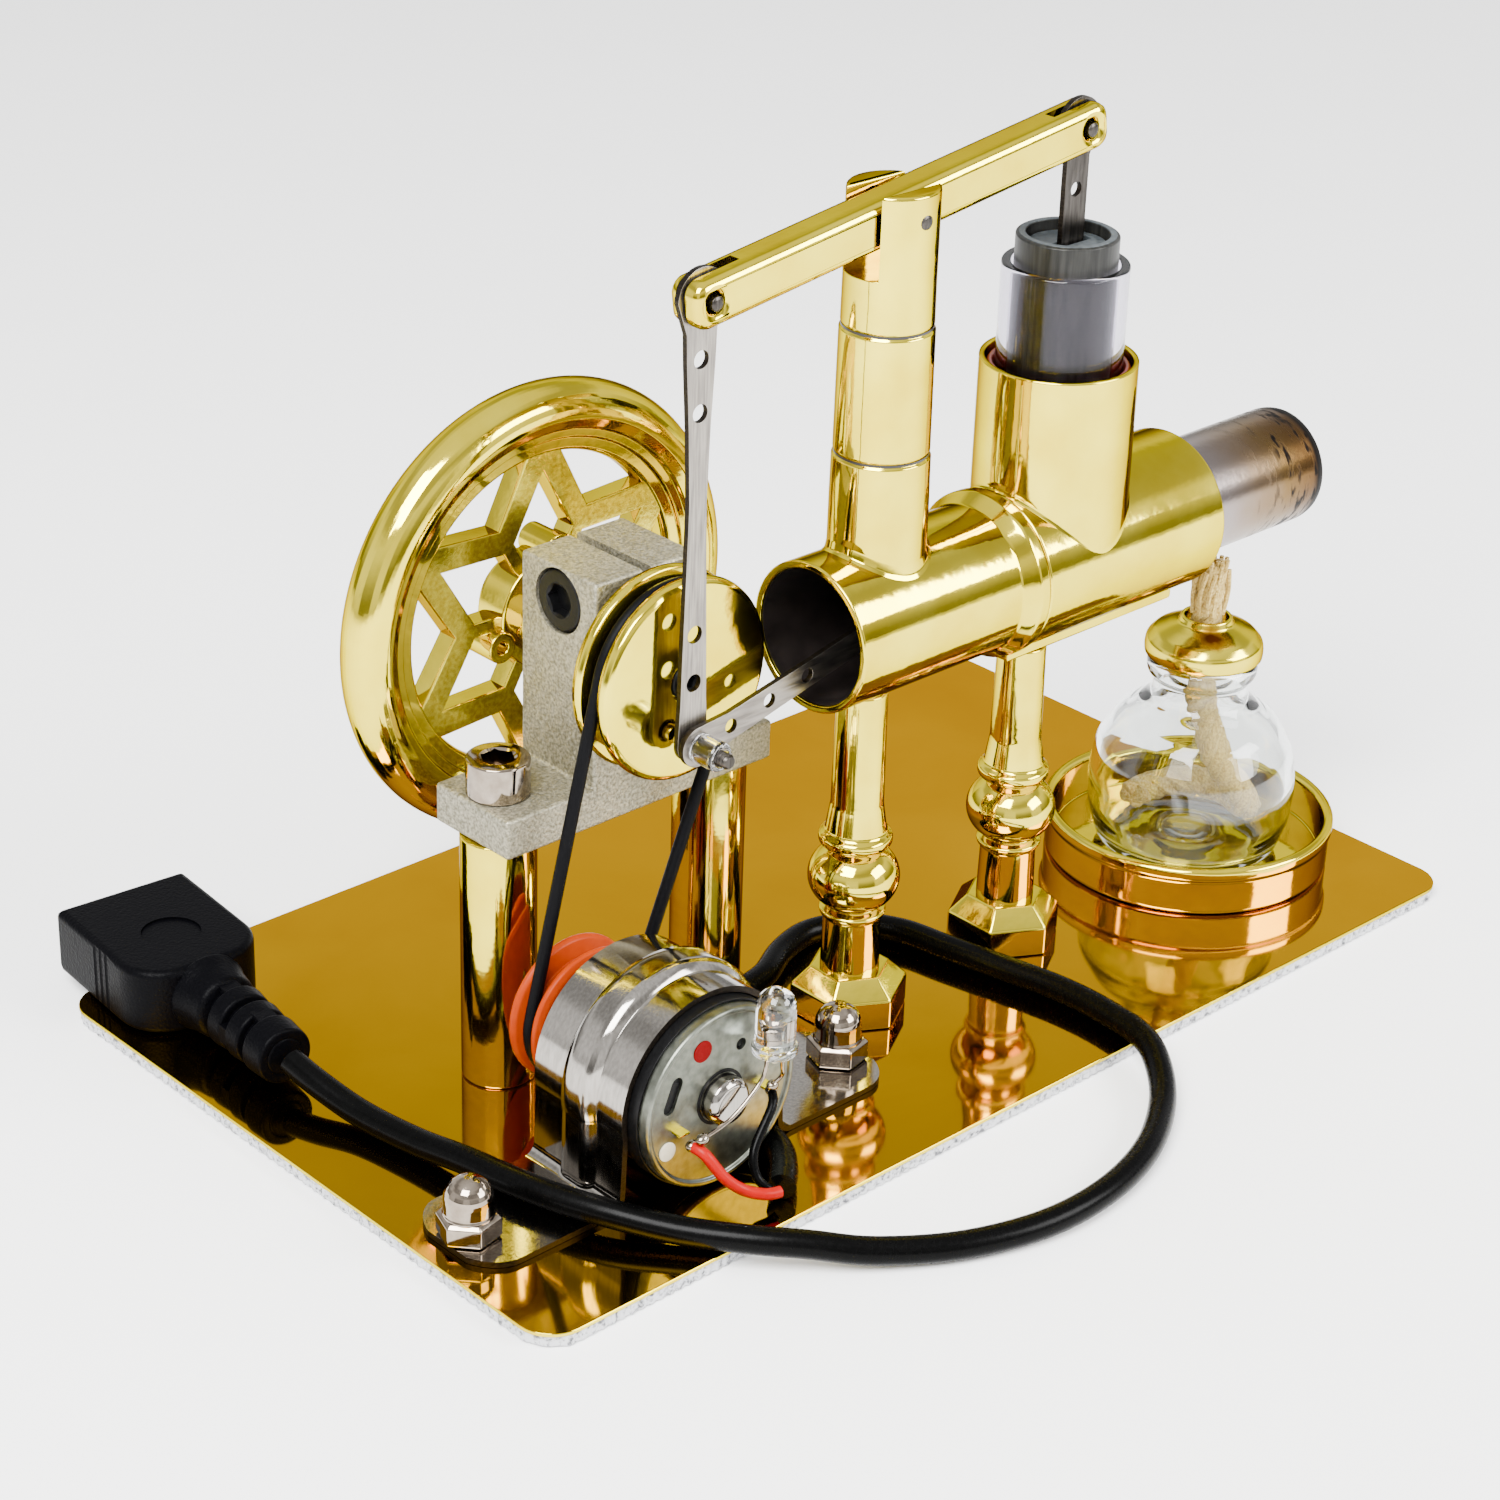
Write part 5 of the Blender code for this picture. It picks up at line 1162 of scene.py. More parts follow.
for side, name in ((-1, "left"), (1, "right")):
    spot = (SHAFT[0] + side * POST_APART, POST_Y, 0.0)
    profile = [(0.0, FLOOR_Z), (4.9, FLOOR_Z), (4.9, 37.14), (2.7, 37.14), (2.7, 31.0), (0.0, 31.0)]
    post = turn(profile, spot, soft=0.3)
    piece(f"plated_post_{name}", [(post, GOLD)], "base", f"post_{name}")
    screw = cap_screw(spot, 32.0, 42.66, 4.1, 5.0, 2.35, "Z")
    piece(f"nickel_cap_screw_{name}", [(screw, NICKEL)], "base", f"block_screw_{name}")

# %% Bearing block
CLAMP_Z = 65.9
block_loop = [(-22.2, 37.2), (22.2, 37.2), (22.2, 42.6), (8.3, 42.6), (8.3, 70.4), (-8.3, 70.4), (-8.3, 42.6)]
block_loop += [(-22.2, 42.6)]
block = plate([(SHAFT[0] + a, b) for a, b in block_loop], [], -8.0, 6.2, "Y", 0.0)


def round_bar(centre, radius, low, high, axis, steps=64):
    """A plain round bar, used as a drill."""
    profile = [(0.0, low), (radius, low), (radius, high), (0.0, high)]
    return turn(profile, centre, axis, steps, 0.0, start=0.017)


block = chamfer(block, 0.45, 3)
cutters = [box((SHAFT[0] - 0.75, -9.0, 60.0), (SHAFT[0] + 0.75, 7.2, 71.4)),
           round_bar((SHAFT[0], 0.0, SHAFT[1]), 4.3, -9.0, 7.2, "Y"),
           round_bar((SHAFT[0], POST_Y, CLAMP_Z), 2.4, -7.0, 4.0, "X"),
           round_bar((SHAFT[0], POST_Y, CLAMP_Z), 4.3, -10.0, -4.9, "X")]
cutters += [round_bar((SHAFT[0] + side * POST_APART, POST_Y, 0.0), 2.7, 36.2, 43.6, "Z") for side in (-1, 1)]
piece("blasted_bearing_block", [(carve(block, *cutters), BLASTED)], "base", "bearing_block")
clamp = cap_screw((SHAFT[0], POST_Y, CLAMP_Z), 3.4, -5.2, 4.0, 3.0, 2.1, "X")
piece("black_clamp_screw", [(clamp, BLACK_OXIDE)], "base", "clamp_screw")

# %% Bearings
for name, seat, high, flange in (("front", -8.15, -3.6, -8.85), ("rear", 6.35, 1.8, 7.05)):
    profile = [(1.8, flange), (4.9, flange), (4.9, seat), (4.0, seat), (4.0, high), (1.8, high)]
    collar = turn(profile, (SHAFT[0], 0.0, SHAFT[1]), "Y", 72, 0.15, ring=True)
    piece(f"flanged_bearing_{name}", [(collar, NICKEL)], "base", f"bearing_{name}")

# %% [markdown]
# ## Flywheel
#
# The rim is a smooth, nearly round ring that takes a mirror polish. Inside it two steps lead down to a
# star of thin spokes: from the hub six short arms run out to the star's inner points, and from each point
# two arms run out to the rim. The hub has a step and three small bosses with screw holes. The spokes'
# flat faces keep the mould's sandy skin, so they get the second gold.

# %% Flywheel
WHEEL_Y = 13.3
WHEEL_RADIUS = 30.3
RIM_RADIUS = 3.75
WHEEL_CENTRE = (SHAFT[0], WHEEL_Y, SHAFT[1])
rim_turns = [math.radians(a) for a in range(-100, 101, 10)]
rim_middle = WHEEL_RADIUS - RIM_RADIUS
rim_round = [(rim_middle + RIM_RADIUS * math.cos(t), RIM_RADIUS * math.sin(t)) for t in rim_turns]
rim_steps = [(24.6, 3.0), (24.3, 2.5), (23.2, 2.4), (23.0, 1.9), (21.6, 1.8), (21.2, 1.4), (21.0, 0.8)]
mirrored = [(a, -b) for a, b in reversed(rim_steps)]
rim = turn(rim_round + rim_steps + mirrored, WHEEL_CENTRE, "Y", 160, 0.15, ring=True)


def star_windows():
    """The openings between the spokes, as loops about the hub."""
    outer, inner, half = 21.3, 12.2, 1.05
    point = inner + 2.2 * half
    loops = []
    for k in range(6):
        turned_by = math.radians(60.0 * k)
        arc = [turned_by + math.radians(step) for step in range(-22, 23, 4)]
        loop = [(outer * math.cos(t), outer * math.sin(t)) for t in arc]
        loops.append(loop + [(point * math.cos(turned_by), point * math.sin(turned_by))])
        near = Vector((math.cos(turned_by), math.sin(turned_by)))
        far = Vector((math.cos(turned_by + math.pi / 3.0), math.sin(turned_by + math.pi / 3.0)))
        side = Vector((-near.y, near.x)) * half
        other = Vector((far.y, -far.x)) * half
        tip = (near + far).normalized() * (outer - 2.4)
        loop = [near * 6.6 + side, near * (inner - 1.0) + side, tip]
        loop += [far * (inner - 1.0) + other, far * 6.6 + other]
        loops.append([tuple(p) for p in loop])
    return [[(SHAFT[0] + a, SHAFT[1] + b) for a, b in loop] for loop in loops]


star = plate(circle(SHAFT, 22.4, 120), star_windows(), WHEEL_Y - 1.6, WHEEL_Y + 1.6, "Y", 0.35)
recess = part_off(star, lambda face: abs(face.normal.y) > 0.9)


def wheel_ring(inner, outer, half, centre, steps, soft):
    """A plain ring with rounded corners, level with the middle of the wheel."""
    profile = [(inner, -half), (outer, -half), (outer, half), (inner, half)]
    return turn(profile, centre, "Y", steps, soft, ring=True)


wheel_parts = [(rim, GOLD), (star, GOLD), (recess, SANDY_GOLD)]
wheel_parts.append((wheel_ring(1.8, 5.9, 4.6, WHEEL_CENTRE, 96, 0.5), GOLD))
wheel_parts.append((wheel_ring(5.0, 7.6, 2.6, WHEEL_CENTRE, 96, 0.4), GOLD))
for k in range(3):
    turned_by = math.radians(120.0 * k + 200.0)
    spot = (SHAFT[0] + 8.3 * math.cos(turned_by), WHEEL_Y, SHAFT[1] + 8.3 * math.sin(turned_by))
    wheel_parts.append((wheel_ring(0.9, 2.1, 2.9, spot, 40, 0.25), GOLD))
piece("cast_flywheel", wheel_parts, "crank", "flywheel")

# %% Shaft and crank pulley
SHAFT_AXIS = (SHAFT[0], 0.0, SHAFT[1])
shaft_profile = [(0.0, -13.0), (1.5, -13.0), (1.5, 18.3), (0.0, 18.3)]
main_shaft = turn(shaft_profile, SHAFT_AXIS, "Y", 64, 0.2)
piece("ground_shaft", [(main_shaft, NICKEL)], "crank", "flywheel_shaft")
pulley_profile = [(2.7, -15.8), (12.6, -15.8), (13.2, -15.4), (13.4, -14.7), (13.2, -13.95), (10.5, -13.3)]
pulley_profile += [(10.5, -11.5), (13.2, -10.85), (13.4, -10.1), (13.1, -9.2)]
pulley_profile += [(1.8, -9.2), (1.8, -14.2), (2.7, -14.3)]
pulley = turn(pulley_profile, SHAFT_AXIS, "Y", 128, 0.22, ring=True)
piece("plated_crank_pulley", [(pulley, GOLD)], "crank", "crank_pulley")
small_screw = cap_screw(SHAFT_AXIS, -13.5, -14.5, 2.4, 1.4, 1.0, "Y")
piece("black_crank_screw", [(small_screw, BLACK_OXIDE)], "crank", "crank_screw")

# %% [markdown]
# ## Belt and generator
#
# The belt is one round rubber loop: two arcs and the two straight runs that touch both. The generator is
# a common small motor: a steel can, a dull zinc end cap with its vents, terminals and bearing boss, an
# orange pulley on its shaft, and a black band under the end cap, painted shade for the gap at the can.

# %% Belt
MOTOR = (-48.0, 14.7)


def belt_line(y, big_radius, small_radius):
    """A loop at this Y: an arc round each pulley, and the straight runs between the arcs."""
    big, small = Vector(SHAFT), Vector(MOTOR)
    span = small - big
    toward = math.atan2(span.y, span.x)
    lean = math.acos((big_radius - small_radius) / span.length)
    points = []
    for k in range(49):
        t = toward + lean + (2.0 * math.pi - 2.0 * lean) * k / 48.0
        points.append((big.x + big_radius * math.cos(t), y, big.y + big_radius * math.sin(t)))
    for k in range(37):
        t = toward - lean + 2.0 * lean * k / 36.0
        points.append((small.x + small_radius * math.cos(t), y, small.y + small_radius * math.sin(t)))
    return points


belt = wire(belt_line(-12.4, 11.65, 8.35), 0.85, closed=True)
piece("round_rubber_belt", [(belt, BELT_RUBBER)], "base", "drive_belt")

# %% Generator can and pulley
motor_centre = (MOTOR[0], 0.0, MOTOR[1])
can_profile = [(0.0, -36.6), (12.2, -36.6), (12.2, -19.1), (11.4, -18.3), (3.0, -18.3), (3.0, -17.6)]
can_profile += [(1.3, -17.6), (1.3, -20.0), (0.0, -20.0)]
can = turn(can_profile, motor_centre, "Y", 128)
# The black band under the end cap is painted shade: the dark gap between the can and its cap.
band_profile = [(12.15, -37.3), (12.45, -37.3), (12.45, -34.6), (12.15, -34.6)]
can_gap_shade = turn(band_profile, motor_centre, "Y", 128, 0.08, ring=True)
piece("steel_motor_can", [(can, POLISHED_STRAP), (can_gap_shade, BLACK_OXIDE)], "base", "generator_can")
shaft = turn([(0.0, -19.6), (1.0, -19.6), (1.0, -9.9), (0.0, -9.9)], motor_centre, "Y", 48, 0.15)
piece("motor_shaft", [(shaft, NICKEL)], "generator_rotor", "generator_shaft")
wheel_profile = [(1.25, -15.2), (8.9, -15.2), (9.7, -14.9), (9.8, -14.4), (9.4, -13.9), (7.2, -13.3)]
wheel_profile += [(7.2, -11.5), (9.4, -10.9), (9.8, -10.4), (9.7, -9.9), (8.9, -9.6), (1.25, -9.6)]
wheel = turn(wheel_profile, motor_centre, "Y", 96, 0.2, ring=True)
piece("orange_pulley", [(wheel, ORANGE)], "generator_rotor", "generator_pulley")

# %% [markdown]
# The end cap's face is where one looks first, so its small things are modelled: a rolled rim, a raised
# bearing boss in a dark ring, two vent holes, an oblong window, a red polarity dot, and two cream
# insulators with gold tags. The vents and the window are cut, and black fillers at their bottoms are
# painted shade for the dark inside of the motor.

# %% Generator end cap
def on_cap(radius, degrees):
    """A point of the cap's face, at Y 0, this far from its middle and turned by this much."""
    t = math.radians(degrees)
    return (MOTOR[0] + radius * math.cos(t), 0.0, MOTOR[1] + radius * math.sin(t))


cap_profile = [(0.0, -38.5), (11.2, -38.5), (11.4, -38.9), (11.9, -38.9), (12.1, -38.6), (12.1, -36.8)]
end_cap = turn(cap_profile + [(0.0, -36.8)], motor_centre, "Y", 128, 0.15)
vent_places = [on_cap(7.0, degrees) for degrees in (62.0, 242.0)]
vents = [round_bar(place, 0.8, -39.5, -37.6, "Y", 32) for place in vent_places]
WINDOW = Vector(on_cap(8.3, 158.0))
WINDOW_LEAN = math.radians(68.0)
WINDOW_HALF = 1.6


def window_bar(half_width, low, high):
    """An oblong bar for the window: a box between two round ends, leaning with the cap's edge."""
    along = Vector((math.cos(WINDOW_LEAN), 0.0, math.sin(WINDOW_LEAN))) * WINDOW_HALF
    slab = box((-WINDOW_HALF, low, -half_width), (WINDOW_HALF, high, half_width))
    slab.transform(Matrix.Translation(WINDOW) @ Matrix.Rotation(-WINDOW_LEAN, 4, "Y"))
    ends = (WINDOW - along, WINDOW + along)
    return [slab, *[round_bar(end, half_width, low, high, "Y", 32) for end in ends]]


boss_profile = [(0.0, -41.0), (2.5, -40.95), (3.2, -40.3), (3.2, -38.4), (0.0, -38.4)]
boss = turn(boss_profile, motor_centre, "Y", 64, 0.3)
ring_profile = [(3.3, -38.6), (3.75, -38.6), (3.75, -38.4), (3.3, -38.4)]
boss_ring = turn(ring_profile, motor_centre, "Y", 64, 0.05, ring=True)


def small_disc(place, radius, low, high):
    return turn([(0.0, low), (radius, low), (radius, high), (0.0, high)], place, "Y", 32, 0.06)


pierced_cap = carve(end_cap, *window_bar(0.9, -39.5, -38.0), *vents)
cap_parts = [(pierced_cap, ZINC), (boss, POLISHED_STRAP), (boss_ring, BLACK_OXIDE)]
# The black fillers in the window and the vents are painted shade for the dark inside of the motor.
# The filler's three bars overlap, so each lies a little deeper than the one before it.
for bar, depth in zip(window_bar(0.88, -38.1, -37.9), (0.0, 0.03, 0.06)):
    bar.transform(Matrix.Translation((0.0, depth, 0.0)))
    cap_parts.append((bar, BLACK_OXIDE))
cap_parts += [(small_disc(place, 0.85, -38.0, -37.5), BLACK_OXIDE) for place in vent_places]
cap_parts.append((small_disc(on_cap(8.2, 112.0), 1.45, -38.62, -38.4), RED_DOT))
for degrees in (207.0, 14.0):
    cap_parts.append((small_disc(on_cap(9.6, degrees), 1.25, -38.75, -38.4), CREAM_INSULATOR))
for degrees in (196.0, -8.0):
    x, _, z = on_cap(7.2, degrees)
    cap_parts.append((box((x - 0.8, -39.9, z - 0.16), (x + 0.8, -38.45, z + 0.16), 0.05), GOLD))
piece("zinc_end_cap", cap_parts, "base", "generator_end_cap")

# %% [markdown]
# ## Strap
#
# The generator is held down by a strip of polished stainless with a pressed bead, bent over the can and
# bolted down at both feet under domed nuts. It is built as a grid that follows the bend in one direction
# and the bead's cross-section in the other, and then thickened like sheet metal. The faces that the
# thickness adds are the strip's cut edge, which is dark, so they are told apart by a mark on their corners.

# %% Strap
STRAP_Y = -28.0


def strap_line():
    """The strap's inner face from its left foot over the can to its right foot."""
    inner, bend, wall = 12.65, 2.4, 12.75
    left = [(-34.0 + d, FLOOR_Z) for d in (0.0, 0.5, 1.0, 1.6, 2.3, 3.2, 4.2, 5.2, 8.0, 11.0, 14.0, 17.0)]
    left += [(-wall - bend + bend * math.cos(t), FLOOR_Z + bend + bend * math.sin(t))
             for t in [math.radians(a) for a in range(-90, 1, 10)]]
    over = [(inner * math.cos(t), MOTOR[1] + inner * math.sin(t))
            for t in [math.radians(190.8 - 201.6 * k / 60.0) for k in range(61)]]
    right = [(-x, z) for x, z in reversed(left)]
    return [(MOTOR[0] + x, z) for x, z in left + over + right], len(left)


def bead_height(across):
    """Height of the pressed bead at this place across the strip."""
    rise = max(0.0, min(1.0, (2.75 - abs(across - STRAP_Y)) / 1.1))
    return 1.15 * rise * rise * (3.0 - 2.0 * rise)


def strap_shape():
    """The strap's two faces, and its cut edge as a shape of its own."""
    path, foot_count = strap_line()
    across = [-35.8 + 16.3 * k / 34.0 for k in range(35)]
    shape = bmesh.new()
    grid = []
    for i, (x, z) in enumerate(path):
        before, after = Vector(path[max(i - 1, 0)]), Vector(path[min(i + 1, len(path) - 1)])
        along = (after - before).normalized()
        out = Vector((-along.y, along.x))
        from_end = min(i, len(path) - 1 - i)
        reach = min(abs(x - path[0][0]), abs(path[-1][0] - x))
        narrow = math.sqrt(max(1.0 - (1.0 - min(reach / 5.0, 1.0)) ** 2 * 0.80, 0.0))
        fade = max(0.0, min(1.0, (from_end - foot_count + 8) / 8.0))
        row = []
        for y in across:
            lift = bead_height(y) * fade
            narrowed = STRAP_Y + (y - STRAP_Y) * narrow
            row.append(shape.verts.new((x + out.x * lift, narrowed, z + out.y * lift)))
        grid.append(row)
    for low, high in zip(grid, grid[1:]):
        for j in range(len(across) - 1):
            shape.faces.new((low[j], high[j], high[j + 1], low[j + 1]))
    bmesh.ops.recalc_face_normals(shape, faces=shape.faces)
    top = max(shape.verts, key=lambda v: v.co.z)
    if top.normal.z < 0.0:
        bmesh.ops.reverse_faces(shape, faces=shape.faces)
    edge_mark = shape.verts.layers.int.new("edge")
    for vert in shape.verts:
        vert[edge_mark] = int(vert.is_boundary)
    bmesh.ops.solidify(shape, geom=shape.faces, thickness=-0.8)
    bmesh.ops.recalc_face_normals(shape, faces=shape.faces)
    edges = shape.copy()
    for part, keep in ((shape, False), (edges, True)):
        mark = part.verts.layers.int["edge"]
        gone = [f for f in part.faces if all(v[mark] for v in f.verts) != keep]
        bmesh.ops.delete(part, geom=gone, context="FACES")
    print("strap:", len(shape.faces), "faces of sheet and", len(edges.faces), "of cut edge")
    return shape, edges


strap_sheet, strap_edges = strap_shape()
strap_parts = [(strap_sheet, POLISHED_STRAP), (strap_edges, SHEARED_EDGE)]
piece("polished_strap", strap_parts, "base", "generator_strap", crease=50.0)

# %% Domed nuts
quarter = [math.radians(a) for a in range(0, 90, 10)]
hexagon_profile = [(0.0, 0.0), (3.85, 0.0), (4.1, 0.3), (4.1, 2.6), (3.5, 3.1), (0.0, 3.1)]
dome_profile = [(0.0, 2.9), (3.25, 2.9), (3.25, 3.2), (3.1, 3.45)]
dome_profile += [(3.1 * math.cos(t), 5.0 + 3.1 * math.sin(t)) for t in quarter]
dome_profile.append((0.0, 8.1))
for side, name in ((-1, "left"), (1, "right")):
    spot = (MOTOR[0] + side * 30.7, STRAP_Y, 2.98)
    hexagon = chamfer(turn(hexagon_profile, spot, steps=6, soft=0.0, start=0.2), 0.15)
    crown = turn(dome_profile, spot, steps=64, soft=0.1)
    piece(f"domed_nut_{name}", [(hexagon, NICKEL), (crown, NICKEL)], "base", f"strap_nut_{name}")

# %% [markdown]
# ## Lamp and wires
#
# A 5 mm lamp of clear epoxy stands over the end cap on its own two wires, soldered to the tags. Inside
# the epoxy sit a cup on a block, which hold the chip, and the thinner post beside them. The red and black
# leads run from the tags to the cable, and each starts in a blob of solder.

# %% Lamp
LAMP_BASE = Vector((-42.8, -42.4, 21.0))
lamp_dome = [(2.5 * math.cos(t), 6.2 + 2.5 * math.sin(t)) for t in quarter]
lamp_profile = [(0.0, 0.0), (2.85, 0.0), (2.85, 0.95), (2.5, 1.0), *lamp_dome, (0.0, 8.7)]
lamp_body = turn(lamp_profile, LAMP_BASE, steps=96, soft=0.12)
piece("clear_lamp", [(lamp_body, LAMP_EPOXY)], "base", "led")
cup_profile = [(0.0, 3.3), (0.9, 3.3), (1.15, 4.4), (0.95, 4.4), (0.6, 3.8), (0.0, 3.8)]
cup = turn(cup_profile, LAMP_BASE - Vector((0.35, 0.0, 0.0)), steps=40, soft=0.05)
anvil = box(LAMP_BASE + Vector((-1.3, -0.25, 1.3)), LAMP_BASE + Vector((0.5, 0.25, 3.5)), 0.1)
post_strip = box(LAMP_BASE + Vector((0.85, -0.2, 1.3)), LAMP_BASE + Vector((1.45, 0.2, 4.2)), 0.1)
left_route = [(-44.0, -42.4, 20.9), (-44.6, -42.2, 17.5), (-49.0, -42.0, 13.9), (-53.4, -41.4, 12.2)]
right_route = [(-41.6, -42.4, 20.9), (-41.2, -42.2, 18.0), (-40.9, -41.9, 16.5), (-41.6, -41.0, 14.9)]
left_lead = wire(smooth_line(left_route, 40), 0.28)
right_lead = wire(smooth_line(right_route, 30), 0.28)


def solder(place, radius, stretch):
    """A blob of solder, a little fuller on its right."""
    blob = bmesh.new()
    bmesh.ops.create_uvsphere(blob, u_segments=24, v_segments=16, radius=radius)
    for vert in blob.verts:
        fuller = 1.0 + 0.2 * vert.co.x
        vert.co = Vector(place) + Vector((vert.co.x * stretch, vert.co.y, vert.co.z * fuller))
    return blob


left_parts = [left_lead, cup, anvil, solder(left_route[-1], 0.75, 1.3)]
right_parts = [right_lead, post_strip, solder(right_route[-1], 0.7, 1.2)]
piece("lamp_left_wire", [(part, NICKEL) for part in left_parts], "base", "led_lead_left")
piece("lamp_right_wire", [(part, NICKEL) for part in right_parts], "base", "led_lead_right")

# %% Red and black leads
RED_ROUTE = [(-54.0, -40.2, 10.9), (-53.6, -42.2, 10.4), (-52.2, -44.0, 7.6), (-50.2, -45.4, 5.6)]
RED_ROUTE += [(-48.0, -47.0, 4.8), (-46.0, -47.6, 4.6)]
BLACK_ROUTE = [(-41.0, -40.2, 13.6), (-42.4, -41.9, 12.6), (-46.4, -43.2, 8.6), (-47.2, -44.6, 5.8)]
BLACK_ROUTE += [(-46.4, -46.2, 4.3), (-45.5, -46.7, 3.5)]
red_line = wire(smooth_line(RED_ROUTE, 80), 0.75)
red_solder = solder(RED_ROUTE[0], 0.8, 1.1)
piece("red_wire", [(red_line, RED_INSULATION), (red_solder, NICKEL)], "base", "red_lead")
black_line = wire(smooth_line(BLACK_ROUTE, 80), 0.6)
black_solder = solder(BLACK_ROUTE[0], 0.75, 1.1)
piece("black_wire", [(black_line, CABLE_PVC), (black_solder, NICKEL)], "base", "black_lead")

# %% [markdown]
# ## Cable and socket
#
# A soft black cable leaves the leads, lies on the plate, passes between the legs, goes over the plate's
# front edge onto the table in one loose loop, and comes back to a moulded socket. Its line goes through
# listed points half its thickness above whatever it lies on, and one smooth curve joins them. It
# stays a curve, with a round bevel, so that it is still known as a cord.

# %% Cable
CABLE_ROUTE = [(-44.4, -46.2, 3.9), (-41.6, -43.6, 3.9), (-39.2, -40.4, 3.9), (-38.0, -36.4, 3.9)]
CABLE_ROUTE += [(-37.8, -31.0, 3.9), (-37.8, -25.5, 3.9), (-37.4, -20.0, 3.9), (-35.2, -14.6, 3.9)]
CABLE_ROUTE += [(-30.4, -10.6, 3.9), (-24.0, -8.9, 3.9), (-17.6, -8.9, 3.9), (-11.6, -7.9, 3.9)]
CABLE_ROUTE += [(-5.0, -4.6, 3.9), (1.6, -3.4, 3.9), (7.6, -6.2, 3.9), (11.4, -11.6, 3.9)]
CABLE_ROUTE += [(12.9, -18.5, 3.9), (14.8, -27.0, 3.9), (16.6, -35.6, 3.9), (17.0, -43.4, 3.9)]
CABLE_ROUTE += [(16.0, -51.6, 3.9), (13.2, -57.0, 3.0), (7.6, -62.6, 2.0), (-1.6, -68.0, 1.9)]
CABLE_ROUTE += [(-12.0, -70.8, 1.9), (-23.0, -70.8, 1.9), (-34.0, -67.4, 1.9), (-43.6, -61.8, 2.4)]
CABLE_ROUTE += [(-50.0, -56.6, 3.5), (-55.0, -51.9, 3.95), (-60.4, -45.2, 4.2), (-64.6, -38.6, 4.8)]
CABLE_ROUTE += [(-67.6, -31.6, 4.9), (-69.6, -24.6, 4.9), (-71.0, -17.6, 4.8), (-72.4, -9.4, 4.1)]
CABLE_ROUTE += [(-73.8, -0.4, 4.2), (-75.0, 7.0, 5.6), (-75.4, 12.0, 6.6)]
CABLE_DIAMETER = 3.6


def laid_cable(route, diameter, finish):
    line = smooth_line(route, 320)
    curve = bpy.data.curves.new("soft_cable", "CURVE")
    curve.dimensions = "3D"
    curve.bevel_depth = diameter / 2.0 * MM
    curve.bevel_resolution = 6
    curve.use_fill_caps = True
    add_loop(curve, [tuple(p * MM) for p in line], False)
    thing = bpy.data.objects.new("soft_cable", curve)
    bpy.context.scene.collection.objects.link(thing)
    curve.materials.append(finish)
    length = sum((b - a).length for a, b in zip(line, line[1:]))
    print(f"cable is {length:.0f} mm long")
    return thing, length


cable, cable_length = laid_cable(CABLE_ROUTE, CABLE_DIAMETER, CABLE_PVC)
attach(cable, "base")
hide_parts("cable")

# %% [markdown]
# The socket is one over-moulding: a box with well-rounded shoulders at the cable's end, three grip
# grooves on each side, a shallow round dimple on top, and a metal shell with its contact tongue inside.
# The strain relief behind it is a neck and three deep rings on a thinner core, so that the cable bends
# gently. All of it is drawn level at the origin, and then turned and moved to where the socket lies.

# %% Socket
SOCKET_END = Vector((-73.6, 34.0, 6.7))
SOCKET_TURN = Matrix.Rotation(math.radians(-5.0), 4, "Z")


def at_socket(shape):
    """Move a shape that is drawn at the origin to where the socket lies."""
    shape.transform(Matrix.Translation(SOCKET_END) @ SOCKET_TURN)
    return shape


def shoulder_loop(half, length, radius):
    """Outline of the moulding: square corners at the mouth, big round shoulders at the cable."""
    turns = [math.radians(a) for a in range(-90, 1, 9)]
    right = [(half - radius + radius * math.cos(t), radius - 1.7 + radius * math.sin(t)) for t in turns]
    mouth = [(half, length - 0.8), (half - 0.2, length - 0.2), (half - 0.8, length)]
    loop = right + mouth
    return loop + [(-a, b) for a, b in reversed(loop)]


moulding = plate(shoulder_loop(9.7, 22.0, 6.6), [], -4.6, 4.75, "Z", 1.0)
socket_cuts = [box((-6.9, 6.0, -3.1), (6.9, 24.0, 3.1)), round_bar((0.0, 8.0, 0.0), 4.0, 4.45, 6.0, "Z")]
socket_cuts += [round_bar((side * 10.05, 8.2 + 1.5 * k, 0.0), 0.55, -6.0, 6.0, "Z", 24)
                for k in range(3) for side in (-1, 1)]
housing = carve(moulding, *socket_cuts)
piece("socket_moulding", [(at_socket(housing), SOCKET_PVC)], "base", "usb_housing")
shell_wall = plate(round_rectangle(6.6, 2.8, 0.5), [round_rectangle(6.25, 2.45, 0.3)], 8.0, 21.9, "Y", 0.05)
piece("socket_shell", [(at_socket(shell_wall), NICKEL)], "base", "usb_shell")
tongue_parts = [(at_socket(box((-5.4, 6.4, -2.0), (5.4, 20.0, -0.1), 0.15)), WHITE_PLASTIC)]
for x in (-3.5, -1.0, 1.0, 3.5):
    tongue_parts.append((at_socket(box((x - 0.5, 9.0, -0.15), (x + 0.5, 19.0, -0.04), 0.03)), GOLD))
piece("socket_tongue", tongue_parts, "base", "usb_tongue")


